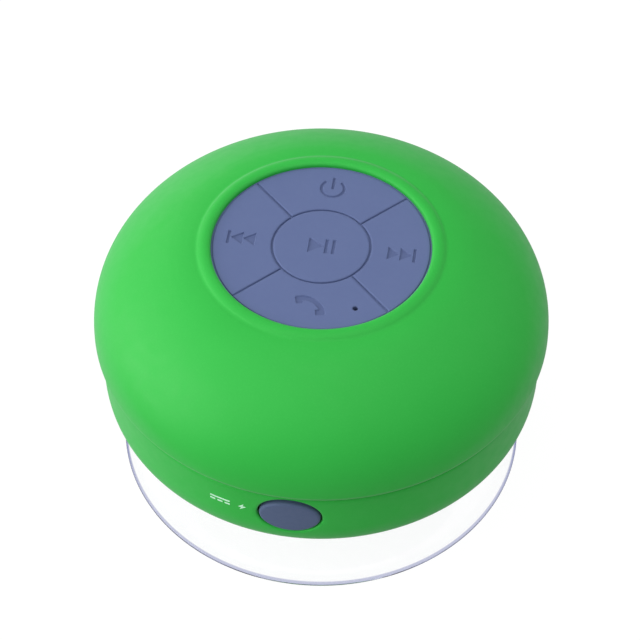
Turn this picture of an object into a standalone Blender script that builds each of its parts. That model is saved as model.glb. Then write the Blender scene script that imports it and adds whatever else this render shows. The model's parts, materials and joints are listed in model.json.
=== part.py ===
"""Wireless shower speaker with a suction-cup foot, as an assembly of separate pieces.

Run with: blender --background --python part.py

The frame has +Z up, away from the wall or table that the suction cup holds. The origin is the
centre of the cup's rim plane. The charging port faces -Y, and so does the call key.
Every size below is in millimetres, and meshes are scaled to Blender's metres when they are made.
"""

import math

import bmesh
import bpy
from mathutils import Matrix, Vector

MM = 0.001
TURN = 2 * math.pi

# ---------------------------------------------------------------- driving dimensions
FIT = 0.3                 # running or resting gap between neighbouring pieces

# Outer shape
BODY_RADIUS = 43.0        # the widest ring of the dome
EQUATOR_Z = 33.35         # height of that ring
DOME_APEX_Z = 56.5        # where the dome curve would close, were it not cut by the keypad
DOME_POWER = 2.25         # superellipse power of the dome
WALL = 2.3                # wall of both shells
SHELL_SIDES = 40          # segments round each shell
SEAM_Z = 31.0             # top face of the lower shell
SEAM_RADIUS = 41.0        # lower edge of the dome
BAND_RADIUS = 41.8        # the lower shell's side
BAND_CORNER_Z = 23.5      # where the side starts to turn under
BAND_CORNER_POWER = 2.85  # superellipse power of that turn
BASE_Z = 16.0             # underside of the lower shell
BASE_FLAT_RADIUS = 35.8   # where the underside goes flat
FLOOR_Z = 19.6            # inside the lower shell's floor, where its posts are rooted

# Keypad
KEYPAD_RADIUS = 20.07     # outer edge of the keys
COLLAR_RADIUS = 20.35     # opening in the dome around the keys
LIP_TOP_Z = 53.9          # crest of the raised lip round the keypad
LIP_FOOT_RADIUS = 28.0    # where the dome curve ends
LIP_VALLEY = [(26.4, 52.6), (24.7, 53.0), (23.2, 53.2)]  # radii and heights, up to the lip's foot
LIP_CREST_RADIUS = 21.7
LIP_HEIGHT = 1.0          # from the collar's inner edge up to the crest
CENTRE_KEY_RADIUS = 8.9
KEY_GROOVE = 0.45         # gap between two keys
KEY_TOP_Z = 53.1
KEY_UNDER_Z = 51.6
KEY_REACH = 14.5          # radius at which the outer keys press their switches
WEB_Z = (50.0, 51.0)
WEB_RADIUS = 22.6
MIC_PLACE = (8.16, -14.13)

# Key board and its switches
BOARD_Z = (45.2, 46.4)
BOARD_RADIUS = 28.5
BOARD_POST_PLACE = 25.6   # radius of the ring of board screws
BOARD_POST_RADIUS = 2.3
BOARD_SCREW_ANGLES = (60, 180, 300)
SWITCH_SIDE = 6.0
SWITCH_Z = (46.65, 48.9)
PLUNGER_RADIUS = 1.6
PLUNGER_Z = (47.9, 49.65)
PIP_BOTTOM_Z = 49.9

# Shell joint
POST_PLACE = 33.9         # radius of the ring of shell screws
POST_RADIUS = 2.8
POST_BOTTOM_Z = 21.4
SHELL_SCREW_ANGLES = (45, 135, 225, 315)

# Grille plate under the driver
GRILLE_RADIUS = 30.7
GRILLE_Z = (16.0, 18.1)
GRILLE_OPENING = 31.0
LEDGE_RADIUS = 26.3
LEDGE_Z = (18.4, 20.0)
GRILLE_SCREW_PLACE = 28.3
GRILLE_SCREW_ANGLES = (90, 210, 330)
SLOT_COUNT = 12
SLOT_REACH = (12.2, 17.2)
SLOT_WIDTH = 2.0
SEAT_Z = 20.2

# Suction cup
CUP_RIM_RADIUS = 39.05
CUP_STEM_RADIUS = 5.0
CUP_FLANGE_RADIUS = 7.2
CUP_FLANGE_Z = (18.4, 20.2)
HUB_BOSS_RADIUS = 9.0
HUB_BOSS_Z = 14.6
HUB_WALL_RADIUS = 11.0
CUP_SCREW_PLACE = 9.3
CUP_SCREW_ANGLES = (30, 150, 270)

# Charging port, its plug and the plug's tether
PORT_Z = 25.4
PLUG_HALF_WIDTH = 5.66
PLUG_HALF_HEIGHT = 3.93
PLUG_DEPTH = 2.2
POCKET_HALF_WIDTH = 5.98
POCKET_ABOVE = 4.9
POCKET_BELOW = 4.25
POCKET_FLOOR_Y = -39.2
PORT_BLOCK_BACK_Y = -37.9
TETHER_X = (-5.5, -4.9)
TETHER_HEAD_Y = (-33.0, -32.0)
PLUG_PIVOT = (-5.66, -41.4, PORT_Z)

SOCKET_Y = (-37.6, -32.2)
CHARGE_BOARD_Z = (22.6, 23.8)

DRIVER_SIDES = 28         # segments round the loudspeaker's wider pieces

COLOURS = {
    "green": ((0.045, 0.50, 0.075, 1), 0.48, 0.0),
    "slate": ((0.13, 0.17, 0.36, 1), 0.50, 0.0),
    "clear": ((0.86, 0.87, 0.97, 1), 0.08, 0.0),
    "black": ((0.02, 0.02, 0.022, 1), 0.60, 0.0),
    "steel": ((0.55, 0.56, 0.58, 1), 0.32, 1.0),
    "board": ((0.02, 0.16, 0.07, 1), 0.40, 0.0),
    "ferrite": ((0.05, 0.05, 0.055, 1), 0.55, 0.0),
    "paper": ((0.10, 0.10, 0.11, 1), 0.80, 0.0),
    "foam": ((0.12, 0.12, 0.12, 1), 0.95, 0.0),
    "pouch": ((0.62, 0.64, 0.68, 1), 0.30, 0.7),
    "copper": ((0.72, 0.33, 0.16, 1), 0.35, 1.0),
    "amber": ((0.75, 0.55, 0.28, 1), 0.70, 0.0),
    "red": ((0.55, 0.03, 0.03, 1), 0.45, 0.0),
    "white": ((0.80, 0.80, 0.78, 1), 0.40, 0.0),
}


# ---------------------------------------------------------------- helpers
def clear_scene():
    for obj in list(bpy.data.objects):
        bpy.data.objects.remove(obj)


def material(name):
    made = bpy.data.materials.get(name)
    if made is None:
        colour, roughness, metallic = COLOURS[name]
        made = bpy.data.materials.new(name)
        made.use_nodes = True
        shader = made.node_tree.nodes["Principled BSDF"]
        shader.inputs["Base Color"].default_value = colour
        shader.inputs["Roughness"].default_value = roughness
        shader.inputs["Metallic"].default_value = metallic
    return made


def polar(radius, degrees):
    angle = math.radians(degrees)
    return radius * math.cos(angle), radius * math.sin(angle)


def arc(centre, radii, start, stop, steps):
    """Points of an elliptical arc round centre, from start to stop degrees."""
    cx, cy = centre
    rx, ry = radii
    sweep = stop - start
    angles = [math.radians(start + sweep * i / steps) for i in range(steps + 1)]
    return [(cx + rx * math.cos(a), cy + ry * math.sin(a)) for a in angles]


def turned(profile, segments):
    """The closed (radius, height) profile, turned right round the Z axis."""
    bm = bmesh.new()
    corners = [bm.verts.new((radius, 0, height)) for radius, height in profile]
    edges = []
    for here, there in zip(corners, corners[1:] + corners[:1]):
        if here.co.x > 0 or there.co.x > 0:
            edges.append(bm.edges.new((here, there)))
    bmesh.ops.spin(
        bm, geom=corners + edges, cent=(0, 0, 0), axis=(0, 0, 1),
        angle=TURN, steps=segments, use_merge=True,
    )
    return tidy(bm)


def tidy(bm):
    bmesh.ops.remove_doubles(bm, verts=bm.verts, dist=1e-5)
    bmesh.ops.recalc_face_normals(bm, faces=bm.faces)
    return bm


def prism(outline, low, high):
    """The closed (x, y) outline, extruded from height low to height high."""
    bm = bmesh.new()
    face = bm.faces.new([bm.verts.new((x, y, low)) for x, y in outline])
    made = bmesh.ops.extrude_face_region(bm, geom=[face])
    top = [part for part in made["geom"] if isinstance(part, bmesh.types.BMVert)]
    bmesh.ops.translate(bm, verts=top, vec=(0, 0, high - low))
    return tidy(bm)


def block(low, high, bevel=0.0):
    """A box between two corners, with its edges bevelled."""
    bm = bmesh.new()
    bmesh.ops.create_cube(bm, size=1)
    size = Vector(high) - Vector(low)
    middle = (Vector(high) + Vector(low)) / 2
    placing = Matrix.Translation(middle) @ Matrix.Diagonal((*size, 1))
    bmesh.ops.transform(bm, matrix=placing, verts=bm.verts)
    if bevel:
        bmesh.ops.bevel(bm, geom=bm.edges, offset=bevel, segments=1, affect="EDGES")
    return bm


def rod(place, radius, low, high, segments=16):
    """An upright cylinder at place = (x, y)."""
    bm = bmesh.new()
    bmesh.ops.create_cone(
        bm, cap_ends=True, segments=segments, radius1=radius, radius2=radius, depth=high - low
    )
    bmesh.ops.translate(bm, verts=bm.verts, vec=(*place, (low + high) / 2))
    return bm


def moved(bm, vec):
    bmesh.ops.translate(bm, verts=bm.verts, vec=vec)
    return bm


def turned_about(bm, matrix):
    bmesh.ops.transform(bm, matrix=matrix, verts=bm.verts)
    return bm


def joined(shapes):
    """Several meshes in one, for use as one cutter."""
    whole = bmesh.new()
    for shape in shapes:
        mesh = bpy.data.meshes.new("part")
        shape.to_mesh(mesh)
        shape.free()
        whole.from_mesh(mesh)
        bpy.data.meshes.remove(mesh)
    return whole


def add(name, bm, colour, origin=(0, 0, 0)):
    """Makes the named object from a mesh in millimetres, with its origin at the given point."""
    bmesh.ops.transform(
        bm, matrix=Matrix.Scale(MM, 4) @ Matrix.Translation(-Vector(origin)), verts=bm.verts
    )
    mesh = bpy.data.meshes.new(name)
    bm.to_mesh(mesh)
    bm.free()
    mesh.shade_smooth()
    mesh.set_sharp_from_angle(angle=math.radians(30))
    obj = bpy.data.objects.new(name, mesh)
    obj.location = Vector(origin) * MM
    obj.data.materials.append(material(colour))
    bpy.context.scene.collection.objects.link(obj)
    return obj


def helper(name, bm):
    obj = add(name, bm, "white")
    obj.hide_render = True
    obj.display_type = "WIRE"
    return obj


def boolean(obj, other, operation):
    modifier = obj.modifiers.new(operation.title(), "BOOLEAN")
    modifier.operation = operation
    modifier.solver = "EXACT"
    modifier.object = other


def cut(obj, *shapes):
    boolean(obj, helper(f"{obj.name}_cutter", joined(shapes)), "DIFFERENCE")


def weld(obj, *shapes):
    boolean(obj, helper(f"{obj.name}_boss", joined(shapes)), "UNION")


def smooth_route(points, per_span=6):
    """Points of a Catmull-Rom curve through the route's own points."""
    route = [Vector(p) for p in points]
    ends = [2 * route[0] - route[1]] + route + [2 * route[-1] - route[-2]]
    line = []
    for a, b, c, d in zip(ends, ends[1:], ends[2:], ends[3:]):
        for step in range(per_span):
            t = step / per_span
            line.append(0.5 * (2 * b + (c - a) * t + (2 * a - 5 * b + 4 * c - d) * t**2
                               + (3 * b - a - 3 * c + d) * t**3))
    return line + [route[-1]]


def lead(name, points, radius, colour):
    """A round cable along a smooth route, with closed ends."""
    line = smooth_route(points, per_span=3)
    curve = bpy.data.curves.new(name, "CURVE")
    curve.dimensions = "3D"
    curve.bevel_depth = radius * MM
    curve.bevel_resolution = 1
    curve.use_fill_caps = True
    spline = curve.splines.new("POLY")
    spline.points.add(len(line) - 1)
    for point, place in zip(spline.points, line):
        point.co = (*(place * MM), 1)
    curve.materials.append(material(colour))
    bpy.context.scene.collection.objects.link(bpy.data.objects.new(name, curve))


# ---------------------------------------------------------------- the shells
def dome_curve(radius, apex, steps, stop_radius):
    """(radius, height) points of the dome, from its widest ring up to stop_radius."""
    end = math.acos((stop_radius / radius) ** (DOME_POWER / 2))
    points = []
    for i in range(steps + 1):
        angle = end * i / steps
        points.append((
            radius * math.cos(angle) ** (2 / DOME_POWER),
            EQUATOR_Z + (apex - EQUATOR_Z) * math.sin(angle) ** (2 / DOME_POWER),
        ))
    return points


def corner_curve(steps):
    """(radius, height) points of the turn from the flat base up to the lower shell's side."""
    across, down = BAND_RADIUS - BASE_FLAT_RADIUS, BAND_CORNER_Z - BASE_Z
    points = []
    for i in range(steps + 1):
        angle = math.pi / 2 * i / steps
        points.append((
            BASE_FLAT_RADIUS + across * math.sin(angle) ** (2 / BAND_CORNER_POWER),
            BAND_CORNER_Z - down * abs(math.cos(angle)) ** (2 / BAND_CORNER_POWER),
        ))
    return points


def upper_shell():
    outside = [(SEAM_RADIUS - 0.2, SEAM_Z + FIT), (SEAM_RADIUS, SEAM_Z + 0.5), (42.3, 32.0)]
    outside += dome_curve(BODY_RADIUS, DOME_APEX_Z, 8, LIP_FOOT_RADIUS)
    lip = LIP_VALLEY + arc((LIP_CREST_RADIUS, LIP_TOP_Z - LIP_HEIGHT),
                           (COLLAR_RADIUS - LIP_CREST_RADIUS, LIP_HEIGHT), 135, 0, 4)
    ledge = [(COLLAR_RADIUS, WEB_Z[1] + FIT), (23.6, WEB_Z[1] + FIT)]
    inside = dome_curve(BODY_RADIUS - WALL, DOME_APEX_Z - WALL, 5, 24.2)[::-1]
    rim = [(38.6, 33.1), (38.6, SEAM_Z + FIT)]
    groove = [(39.0, SEAM_Z + FIT), (39.0, SEAM_Z + 1.1), (40.2, SEAM_Z + 1.1), (40.2, SEAM_Z + FIT)]
    profile = outside + lip + ledge + inside + rim + groove
    shell = add("upper_shell", turned(profile, SHELL_SIDES), "green")

    # Posts hang from the ceiling and end inside the wall, so they are trimmed to the wall's middle.
    core = dome_curve(BODY_RADIUS - WALL / 2, DOME_APEX_Z - WALL / 2, 6, 22.0)
    core = [(0, BASE_Z), (core[0][0], BASE_Z)] + core + [(0, core[-1][1])]
    core = helper("post_limit", turned(core, 24))
    posts = [rod(polar(POST_PLACE, a), POST_RADIUS, POST_BOTTOM_Z, 52, 10)
             for a in SHELL_SCREW_ANGLES]
    posts += [rod(polar(BOARD_POST_PLACE, a), BOARD_POST_RADIUS, BOARD_Z[1] + FIT, 54, 10)
              for a in BOARD_SCREW_ANGLES]
    posts = helper("shell_posts", joined(posts))
    boolean(posts, core, "INTERSECT")
    boolean(shell, posts, "UNION")
    holes = [rod(polar(POST_PLACE, a), 1.4, POST_BOTTOM_Z - 1, 33.0, 8)
             for a in SHELL_SCREW_ANGLES]
    holes += [rod(polar(BOARD_POST_PLACE, a), 1.2, BOARD_Z[1], 49.6, 8)
              for a in BOARD_SCREW_ANGLES]
    cut(shell, *holes)


def pocket_outline():
    """The plug's pocket seen from the front, taller above the plug for a fingernail."""
    above = arc((0, 0), (POCKET_HALF_WIDTH, POCKET_ABOVE), 0, 180, 12)
    below = arc((0, 0), (POCKET_HALF_WIDTH, POCKET_BELOW), 180, 360, 12)
    return above + below[1:-1]


def facing_front(bm):
    """Turns a prism drawn in X and Y to face the front, with its drawn Y up and its height towards +Y."""
    return turned_about(bm, Matrix(((1, 0, 0, 0), (0, 0, 1, 0), (0, 1, 0, 0), (0, 0, 0, 1))))


def front_prism(outline, y_out, y_in):
    """An outline drawn round the port's centre, extruded from y_out inwards to y_in."""
    bm = facing_front(prism(outline, y_out, y_in))
    bmesh.ops.recalc_face_normals(bm, faces=bm.faces)
    return moved(bm, (0, 0, PORT_Z))


def lower_shell():
    corner = corner_curve(6)
    top_edge = [(BAND_RADIUS, SEAM_Z - 0.5), (BAND_RADIUS - 0.4, SEAM_Z)]
    outside = [(GRILLE_OPENING, BASE_Z)] + corner + top_edge
    spigot = [(38.25, SEAM_Z), (38.25, 32.8), (37.0, 32.8), (37.0, 29.5), (39.4, 27.2)]
    inside = arc((35.4, 24.0), (4.0, 4.0), 0, -90, 2) + [(LEDGE_RADIUS, LEDGE_Z[1])]
    ledge = [(LEDGE_RADIUS, LEDGE_Z[0]), (GRILLE_OPENING, LEDGE_Z[0])]
    shell = add("lower_shell", turned(outside + spigot + inside + ledge, SHELL_SIDES), "green")

    pads = [rod(polar(POST_PLACE, a), POST_RADIUS, FLOOR_Z, POST_BOTTOM_Z - FIT, 10)
            for a in SHELL_SCREW_ANGLES]
    bosses = [rod(polar(GRILLE_SCREW_PLACE, a), 1.9, LEDGE_Z[0] + 0.2, 22.6, 8)
              for a in GRILLE_SCREW_ANGLES]
    stakes = [rod((x, -30.5), 1.6, FLOOR_Z, CHARGE_BOARD_Z[0] - FIT, 8) for x in (-7.0, 7.0)]
    port_block = block((-8.0, -39.9, 20.6), (8.0, PORT_BLOCK_BACK_Y, 30.4))
    weld(shell, *pads, *bosses, *stakes, port_block)

    pocket = front_prism(pocket_outline(), -44, POCKET_FLOOR_Y)
    window = block((-4.1, -40, PORT_Z - 1.8), (4.1, -36, PORT_Z + 1.8))
    slot = block((TETHER_X[0] - FIT, -40, PORT_Z - 1.0 - FIT),
                 (TETHER_X[1] + FIT, -36, PORT_Z + 1.0 + FIT))
    cut(shell, pocket)
    cut(shell, window, slot)
    screws = [rod(polar(POST_PLACE, a), 1.5, 15, 25, 8) for a in SHELL_SCREW_ANGLES]
    pilots = [rod(polar(GRILLE_SCREW_PLACE, a), 0.95, 18, 22.0, 8) for a in GRILLE_SCREW_ANGLES]
    cut(shell, *screws, *pilots)
    # The screw heads sit in counterbores.
    cut(shell, *[rod(polar(POST_PLACE, a), 2.6, 15, 18.2, 10) for a in SHELL_SCREW_ANGLES])


def seam_gasket():
    strip = [(39.25, 31.2), (39.95, 31.2), (39.95, 31.8), (39.25, 31.8)]
    add("seam_gasket", turned(strip, SHELL_SIDES), "black")


def base_grille():
    bore = CUP_STEM_RADIUS + FIT
    under = [(bore, HUB_BOSS_Z), (HUB_BOSS_RADIUS - 0.5, HUB_BOSS_Z), (HUB_BOSS_RADIUS, 15.1),
             (HUB_BOSS_RADIUS, GRILLE_Z[0]), (GRILLE_RADIUS - 0.4, GRILLE_Z[0]),
             (GRILLE_RADIUS, GRILLE_Z[0] + 0.4)]
    seat = [(21.3, GRILLE_Z[1]), (21.3, SEAT_Z), (17.9, SEAT_Z), (17.9, GRILLE_Z[1])]
    hub = [(HUB_WALL_RADIUS, GRILLE_Z[1]), (HUB_WALL_RADIUS, 20.4), (7.6, 20.4),
           (7.6, GRILLE_Z[1])]
    over = [(GRILLE_RADIUS, GRILLE_Z[1])] + seat + hub + [(bore, GRILLE_Z[1])]
    plate = add("base_grille", turned(under + over, 36), "green")
    slots = []
    middle = sum(SLOT_REACH) / 2
    straight = (SLOT_REACH[1] - SLOT_REACH[0] - SLOT_WIDTH) / 2
    outline = arc((middle + straight, 0), (SLOT_WIDTH / 2,) * 2, -90, 90, 2)
    outline += arc((middle - straight, 0), (SLOT_WIDTH / 2,) * 2, 90, 270, 2)
    for i in range(SLOT_COUNT):
        turn = Matrix.Rotation(TURN * (i + 0.5) / SLOT_COUNT, 4, "Z")
        slots.append(turned_about(prism(outline, 15, 20), turn))
    cut(plate, *slots)
    holes = [rod(polar(GRILLE_SCREW_PLACE, a), 1.1, 15, 20, 8) for a in GRILLE_SCREW_ANGLES]
    holes += [rod(polar(CUP_SCREW_PLACE, a), 0.8, 17.6, 21, 8) for a in CUP_SCREW_ANGLES]
    cut(plate, *holes)
    cut(plate, *[rod(polar(GRILLE_SCREW_PLACE, a), 2.0, 15, 17.0, 10) for a in GRILLE_SCREW_ANGLES])


def grille_mesh():
    ring = [(11.4, 18.35), (17.55, 18.35), (17.55, 18.7), (11.4, 18.7)]
    add("grille_mesh", turned(ring, 28), "black")


# ---------------------------------------------------------------- fasteners
def screw(name, place, head_z, head_radius, head_height, tip_z, shank_radius):
    """A pan-head screw. head_z is the outer face of its head."""
    step = 1 if tip_z > head_z else -1
    neck = head_z + step * head_height
    profile = [(0, head_z), (head_radius * 0.7, head_z),
               (head_radius, head_z + step * head_height * 0.45), (head_radius, neck),
               (shank_radius, neck), (shank_radius, tip_z - step * 0.6),
               (shank_radius * 0.4, tip_z), (0, tip_z)]
    add(name, moved(turned(profile, 8), (*place, 0)), "steel", origin=(*place, head_z))


def fasteners():
    for i, angle in enumerate(SHELL_SCREW_ANGLES, 1):
        screw(f"shell_screw_{i}", polar(POST_PLACE, angle), 16.5, 2.25, 1.4, 31.5, 1.15)
    for i, angle in enumerate(GRILLE_SCREW_ANGLES, 1):
        screw(f"grille_screw_{i}", polar(GRILLE_SCREW_PLACE, angle), 16.1, 1.7, 0.75, 21.4, 0.75)
    for i, angle in enumerate(CUP_SCREW_ANGLES, 1):
        screw(f"cup_screw_{i}", polar(CUP_SCREW_PLACE, angle), 22.4, 1.35, 0.65, 18.5, 0.6)
    for i, angle in enumerate(BOARD_SCREW_ANGLES, 1):
        screw(f"board_screw_{i}", polar(BOARD_POST_PLACE, angle), 43.6, 2.0, 1.3, 49.0, 0.95)


# ---------------------------------------------------------------- suction cup
def suction_cup():
    """A clear bell with a flat sealing ring, a neck, and a flange that the retainer traps."""
    inside = [(0, 7.9), (10, 7.4), (19, 5.8), (28, 3.2), (36.2, 0)]
    rim = [(38.5, 0)] + arc((CUP_RIM_RADIUS - 0.6, 0.75), (0.6, 0.6), -50, 90, 2)
    outside = [(35.5, 2.2), (28, 5.1), (19, 8.1), (11, 10.7), (8.0, 12.3), (7.2, 14.3)]
    stem = [(CUP_STEM_RADIUS, 14.3), (CUP_STEM_RADIUS, CUP_FLANGE_Z[0]),
            (CUP_FLANGE_RADIUS, CUP_FLANGE_Z[0]), (CUP_FLANGE_RADIUS, CUP_FLANGE_Z[1]),
            (0, CUP_FLANGE_Z[1])]
    add("suction_cup", turned(inside + rim + outside + stem, 40), "clear")


def cup_retainer():
    disc = [(0, 20.7), (10.8, 20.7), (10.8, 21.2), (10.5, 21.5), (0, 21.5)]
    cap = add("cup_retainer", turned(disc, 24), "black")
    cut(cap, *[rod(polar(CUP_SCREW_PLACE, a), 0.9, 20, 23, 8) for a in CUP_SCREW_ANGLES])


# ---------------------------------------------------------------- keypad
KEYS = {"play_key": None, "next_key": 0, "power_key": 90, "previous_key": 180, "call_key": 270}


def key_place(angle):
    return (0.0, 0.0) if angle is None else polar(KEY_REACH, angle)


def sector_outline(angle):
    """The outline of one outer key: two arcs, and sides that run parallel to the grooves."""
    inner, outer = CENTRE_KEY_RADIUS + KEY_GROOVE, KEYPAD_RADIUS
    points = []
    for radius, way, steps in ((outer, 1, 10), (inner, -1, 5)):
        half = 45 - math.degrees(math.asin(KEY_GROOVE / 2 / radius))
        points += arc((0, 0), (radius, radius), angle - way * half, angle + way * half, steps)
    return points


def keys():
    for name, angle in KEYS.items():
        x, y = key_place(angle)
        if angle is None:
            crown = [(0, KEY_UNDER_Z), (CENTRE_KEY_RADIUS, KEY_UNDER_Z),
                     (CENTRE_KEY_RADIUS, KEY_TOP_Z - 0.25),
                     (CENTRE_KEY_RADIUS - 0.3, KEY_TOP_Z), (0, KEY_TOP_Z + 0.2)]
            body = turned(crown, 28)
        else:
            body = prism(sector_outline(angle), KEY_UNDER_Z, KEY_TOP_Z)
        key = add(name, body, "slate", origin=(x, y, KEY_TOP_Z))
        weld(key, rod((x, y), 1.5, PIP_BOTTOM_Z, KEY_UNDER_Z + 0.6, 8))
        if name == "call_key":
            cut(key, rod(MIC_PLACE, 0.5, 50, 55, 10))


def keypad_web():
    """The soft mat under the keys. Their pips pass through it to the switches."""
    low, high = WEB_Z
    disc = [(0, low), (WEB_RADIUS, low), (WEB_RADIUS, high), (0, high)]
    web = add("keypad_web", turned(disc, 36), "slate")
    holes = [rod(key_place(angle), 2.0, 49, 52, 10) for angle in KEYS.values()]
    cut(web, *holes, rod(MIC_PLACE, 1.0, 49, 52, 8))


def switches():
    half = SWITCH_SIDE / 2
    for name, angle in KEYS.items():
        x, y = key_place(angle)
        stem = name.replace("_key", "")
        low, high = SWITCH_Z
        case = block((x - half, y - half, low), (x + half, y + half, high))
        case = add(f"{stem}_switch", case, "black")
        cut(case, rod((x, y), PLUNGER_RADIUS + FIT, low + 0.5, high + 1, 10))
        plunger = rod((x, y), PLUNGER_RADIUS, *PLUNGER_Z, 10)
        add(f"{stem}_plunger", plunger, "white", origin=(x, y, PLUNGER_Z[1]))


# ---------------------------------------------------------------- electronics
def key_board():
    low, high = BOARD_Z
    disc = [(0, low), (BOARD_RADIUS, low), (BOARD_RADIUS, high), (0, high)]
    board = add("key_board", turned(disc, 32), "board")
    cut(board, *[rod(polar(BOARD_POST_PLACE, a), 1.3, 44, 48, 8) for a in BOARD_SCREW_ANGLES])
    add("bluetooth_chip", block((4.0, 5.0, 44.0), (11.0, 12.0, 44.95), bevel=0.12), "black")
    can = [(0, 46.65), (2.1, 46.65), (2.1, 48.6), (1.7, 48.9), (0, 48.9)]
    add("microphone", moved(turned(can, 12), (*MIC_PLACE, 0)), "steel")
    add("status_led", block((10.9, -12.2, 46.65), (12.5, -11.2, 47.4), bevel=0.1), "white")


def charge_board():
    low, high = CHARGE_BOARD_Z
    add("charge_board", block((-9.0, -37.4, low), (9.0, -24.0, high)), "board")
    front, back = SOCKET_Y
    shell = add("usb_socket", block((-3.75, front, 24.0), (3.75, back, 26.8), bevel=0.3), "steel")
    cut(shell, block((-3.45, front - 1, 24.35), (3.45, back - 0.8, 26.45)))


def ribbon_path(line, thickness):
    """The outline of a strip that follows line, in Y and Z."""
    left, right = [], []
    for i, (y, z) in enumerate(line):
        before, after = line[max(i - 1, 0)], line[min(i + 1, len(line) - 1)]
        along = Vector((after[0] - before[0], after[1] - before[1])).normalized()
        left.append((y - along.y * thickness / 2, z + along.x * thickness / 2))
        right.append((y + along.y * thickness / 2, z - along.x * thickness / 2))
    return left + right[::-1]


def board_ribbon():
    """The flat cable from the charge board up to the key board."""
    route = [(-25.2, 24.4), (-24.6, 27.0), (-23.6, 30.0), (-23.2, 34.0), (-23.4, 38.0),
             (-24.0, 41.5), (-24.2, 44.7)]
    bm = prism(ribbon_path(route, 0.5), -3.5, 3.5)
    # Drawn in Y and Z, extruded along X.
    turned_about(bm, Matrix(((0, 0, 1, 0), (1, 0, 0, 0), (0, 1, 0, 0), (0, 0, 0, 1))))
    bmesh.ops.recalc_face_normals(bm, faces=bm.faces)
    add("board_ribbon", bm, "white")


def battery():
    add("battery", block((-17.0, -15.0, 37.7), (17.0, 15.0, 42.9), bevel=1.0), "pouch")
    add("battery_pad", block((-9.0, -7.0, 36.5), (9.0, 7.0, 37.4)), "foam")
    route = [(10.0, 15.4, 40.3), (10.2, 18.0, 41.0), (10.4, 20.0, 42.8), (10.4, 20.4, 44.85)]
    lead("battery_leads", route, 0.75, "red")


# ---------------------------------------------------------------- loudspeaker
def driver_frame():
    wall = [(20.5, 21.8), (20.5, 22.6), (19.8, 22.6), (14.1, 28.5), (13.6, 29.6), (6.2, 29.6)]
    inner = [(6.2, 28.8), (12.9, 28.8), (13.3, 28.1), (18.7, 22.5), (18.7, 21.8)]
    frame = add("driver_frame", turned(wall + inner, DRIVER_SIDES), "steel")
    windows = []
    for i in range(4):
        turn = Matrix.Rotation(TURN * (i + 0.5) / 4, 4, "Z")
        windows.append(turned_about(block((12.0, -5.0, 23.8), (22.0, 5.0, 27.4)), turn))
    cut(frame, *windows)


def driver():
    """The loudspeaker, firing down at the grille, from its gasket up to its yoke."""
    driver_frame()
    gasket = [(18.1, 20.45), (20.3, 20.45), (20.3, 21.0), (18.1, 21.0)]
    add("driver_gasket", turned(gasket, DRIVER_SIDES), "foam")
    magnet = [(6.5, 31.4), (13.0, 31.4), (13.0, 34.5), (6.5, 34.5)]
    add("driver_magnet", turned(magnet, 24), "ferrite")
    plate = [(5.2, 29.9), (11.5, 29.9), (11.5, 31.1), (5.2, 31.1)]
    add("driver_top_plate", turned(plate, 24), "steel")
    yoke = [(0, 30.0), (4.0, 30.0), (4.0, 34.8), (11.8, 34.8), (12.2, 35.2), (12.2, 36.2),
            (0, 36.2)]
    add("driver_yoke", turned(yoke, 24), "steel")
    roll = arc((17.3, 21.5), (1.25, 1.1), 180, 0, 4)
    under = arc((17.3, 21.25), (0.95, 1.05), 0, 180, 4)
    surround = [(15.3, 21.5)] + roll + [(20.3, 21.5), (20.3, 21.25)] + under + [(15.3, 21.25)]
    add("driver_surround", turned(surround, DRIVER_SIDES), "black")
    cone = [(16.0, 21.8), (16.0, 22.1), (14.9, 22.5), (5.1, 26.9), (5.1, 26.4), (14.8, 21.8)]
    add("driver_cone", turned(cone, DRIVER_SIDES), "paper")
    cap = arc((0, 25.6), (5.4, 2.2), -90, -8, 4)
    back = arc((0, 25.95), (5.4, 2.2), -8, -90, 4)
    add("driver_dust_cap", turned([(max(r, 0), z) for r, z in cap + back], 20), "black")
    coil = [(4.4, 27.3), (4.8, 27.3), (4.8, 32.2), (4.4, 32.2)]
    add("voice_coil", turned(coil, 20), "copper")
    waves = [(5.2 + 7.4 * i / 6, 27.85 + (0.28 if i % 2 else -0.28)) for i in range(7)]
    spider = [(r, z - 0.12) for r, z in waves] + [(r, z + 0.12) for r, z in waves[::-1]]
    add("driver_spider", turned(spider, 20), "amber")
    route = [(16.2, 16.2, 24.0), (17.2, 17.6, 27.0), (16.6, 18.6, 32.0), (15.6, 18.8, 38.0),
             (15.2, 18.6, 44.85)]
    lead("speaker_leads", route, 0.75, "white")


# ---------------------------------------------------------------- charging port plug
def port_plug():
    """An oval cap, a little proud at its ends, with its pivot on the tether's outer end."""
    outline = arc((0, 0), (PLUG_HALF_WIDTH, PLUG_HALF_HEIGHT), 0, 360, 28)[:-1]
    blank = front_prism(outline, -43.5, -41.8 + PLUG_DEPTH)
    plug = add("port_plug", blank, "slate", origin=PLUG_PIVOT)
    # The face is curved like the band it closes.
    face = turned([(BAND_RADIUS + 0.1, 15), (60, 15), (60, 35), (BAND_RADIUS + 0.1, 35)], 96)
    cut(plug, face)


def plug_tether():
    """The strap beside the socket, and the head that stops it leaving its slot."""
    low, high = PORT_Z - 1.0, PORT_Z + 1.0
    x0, x1 = TETHER_X
    strap = block((x0, -39.3, low), (x1, TETHER_HEAD_Y[0] + 0.5, high))
    strap = add("plug_tether", strap, "slate", origin=PLUG_PIVOT)
    head = block((-6.7, TETHER_HEAD_Y[0], PORT_Z - 1.3), (-4.3, TETHER_HEAD_Y[1], PORT_Z + 2.0))
    weld(strap, head)


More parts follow.
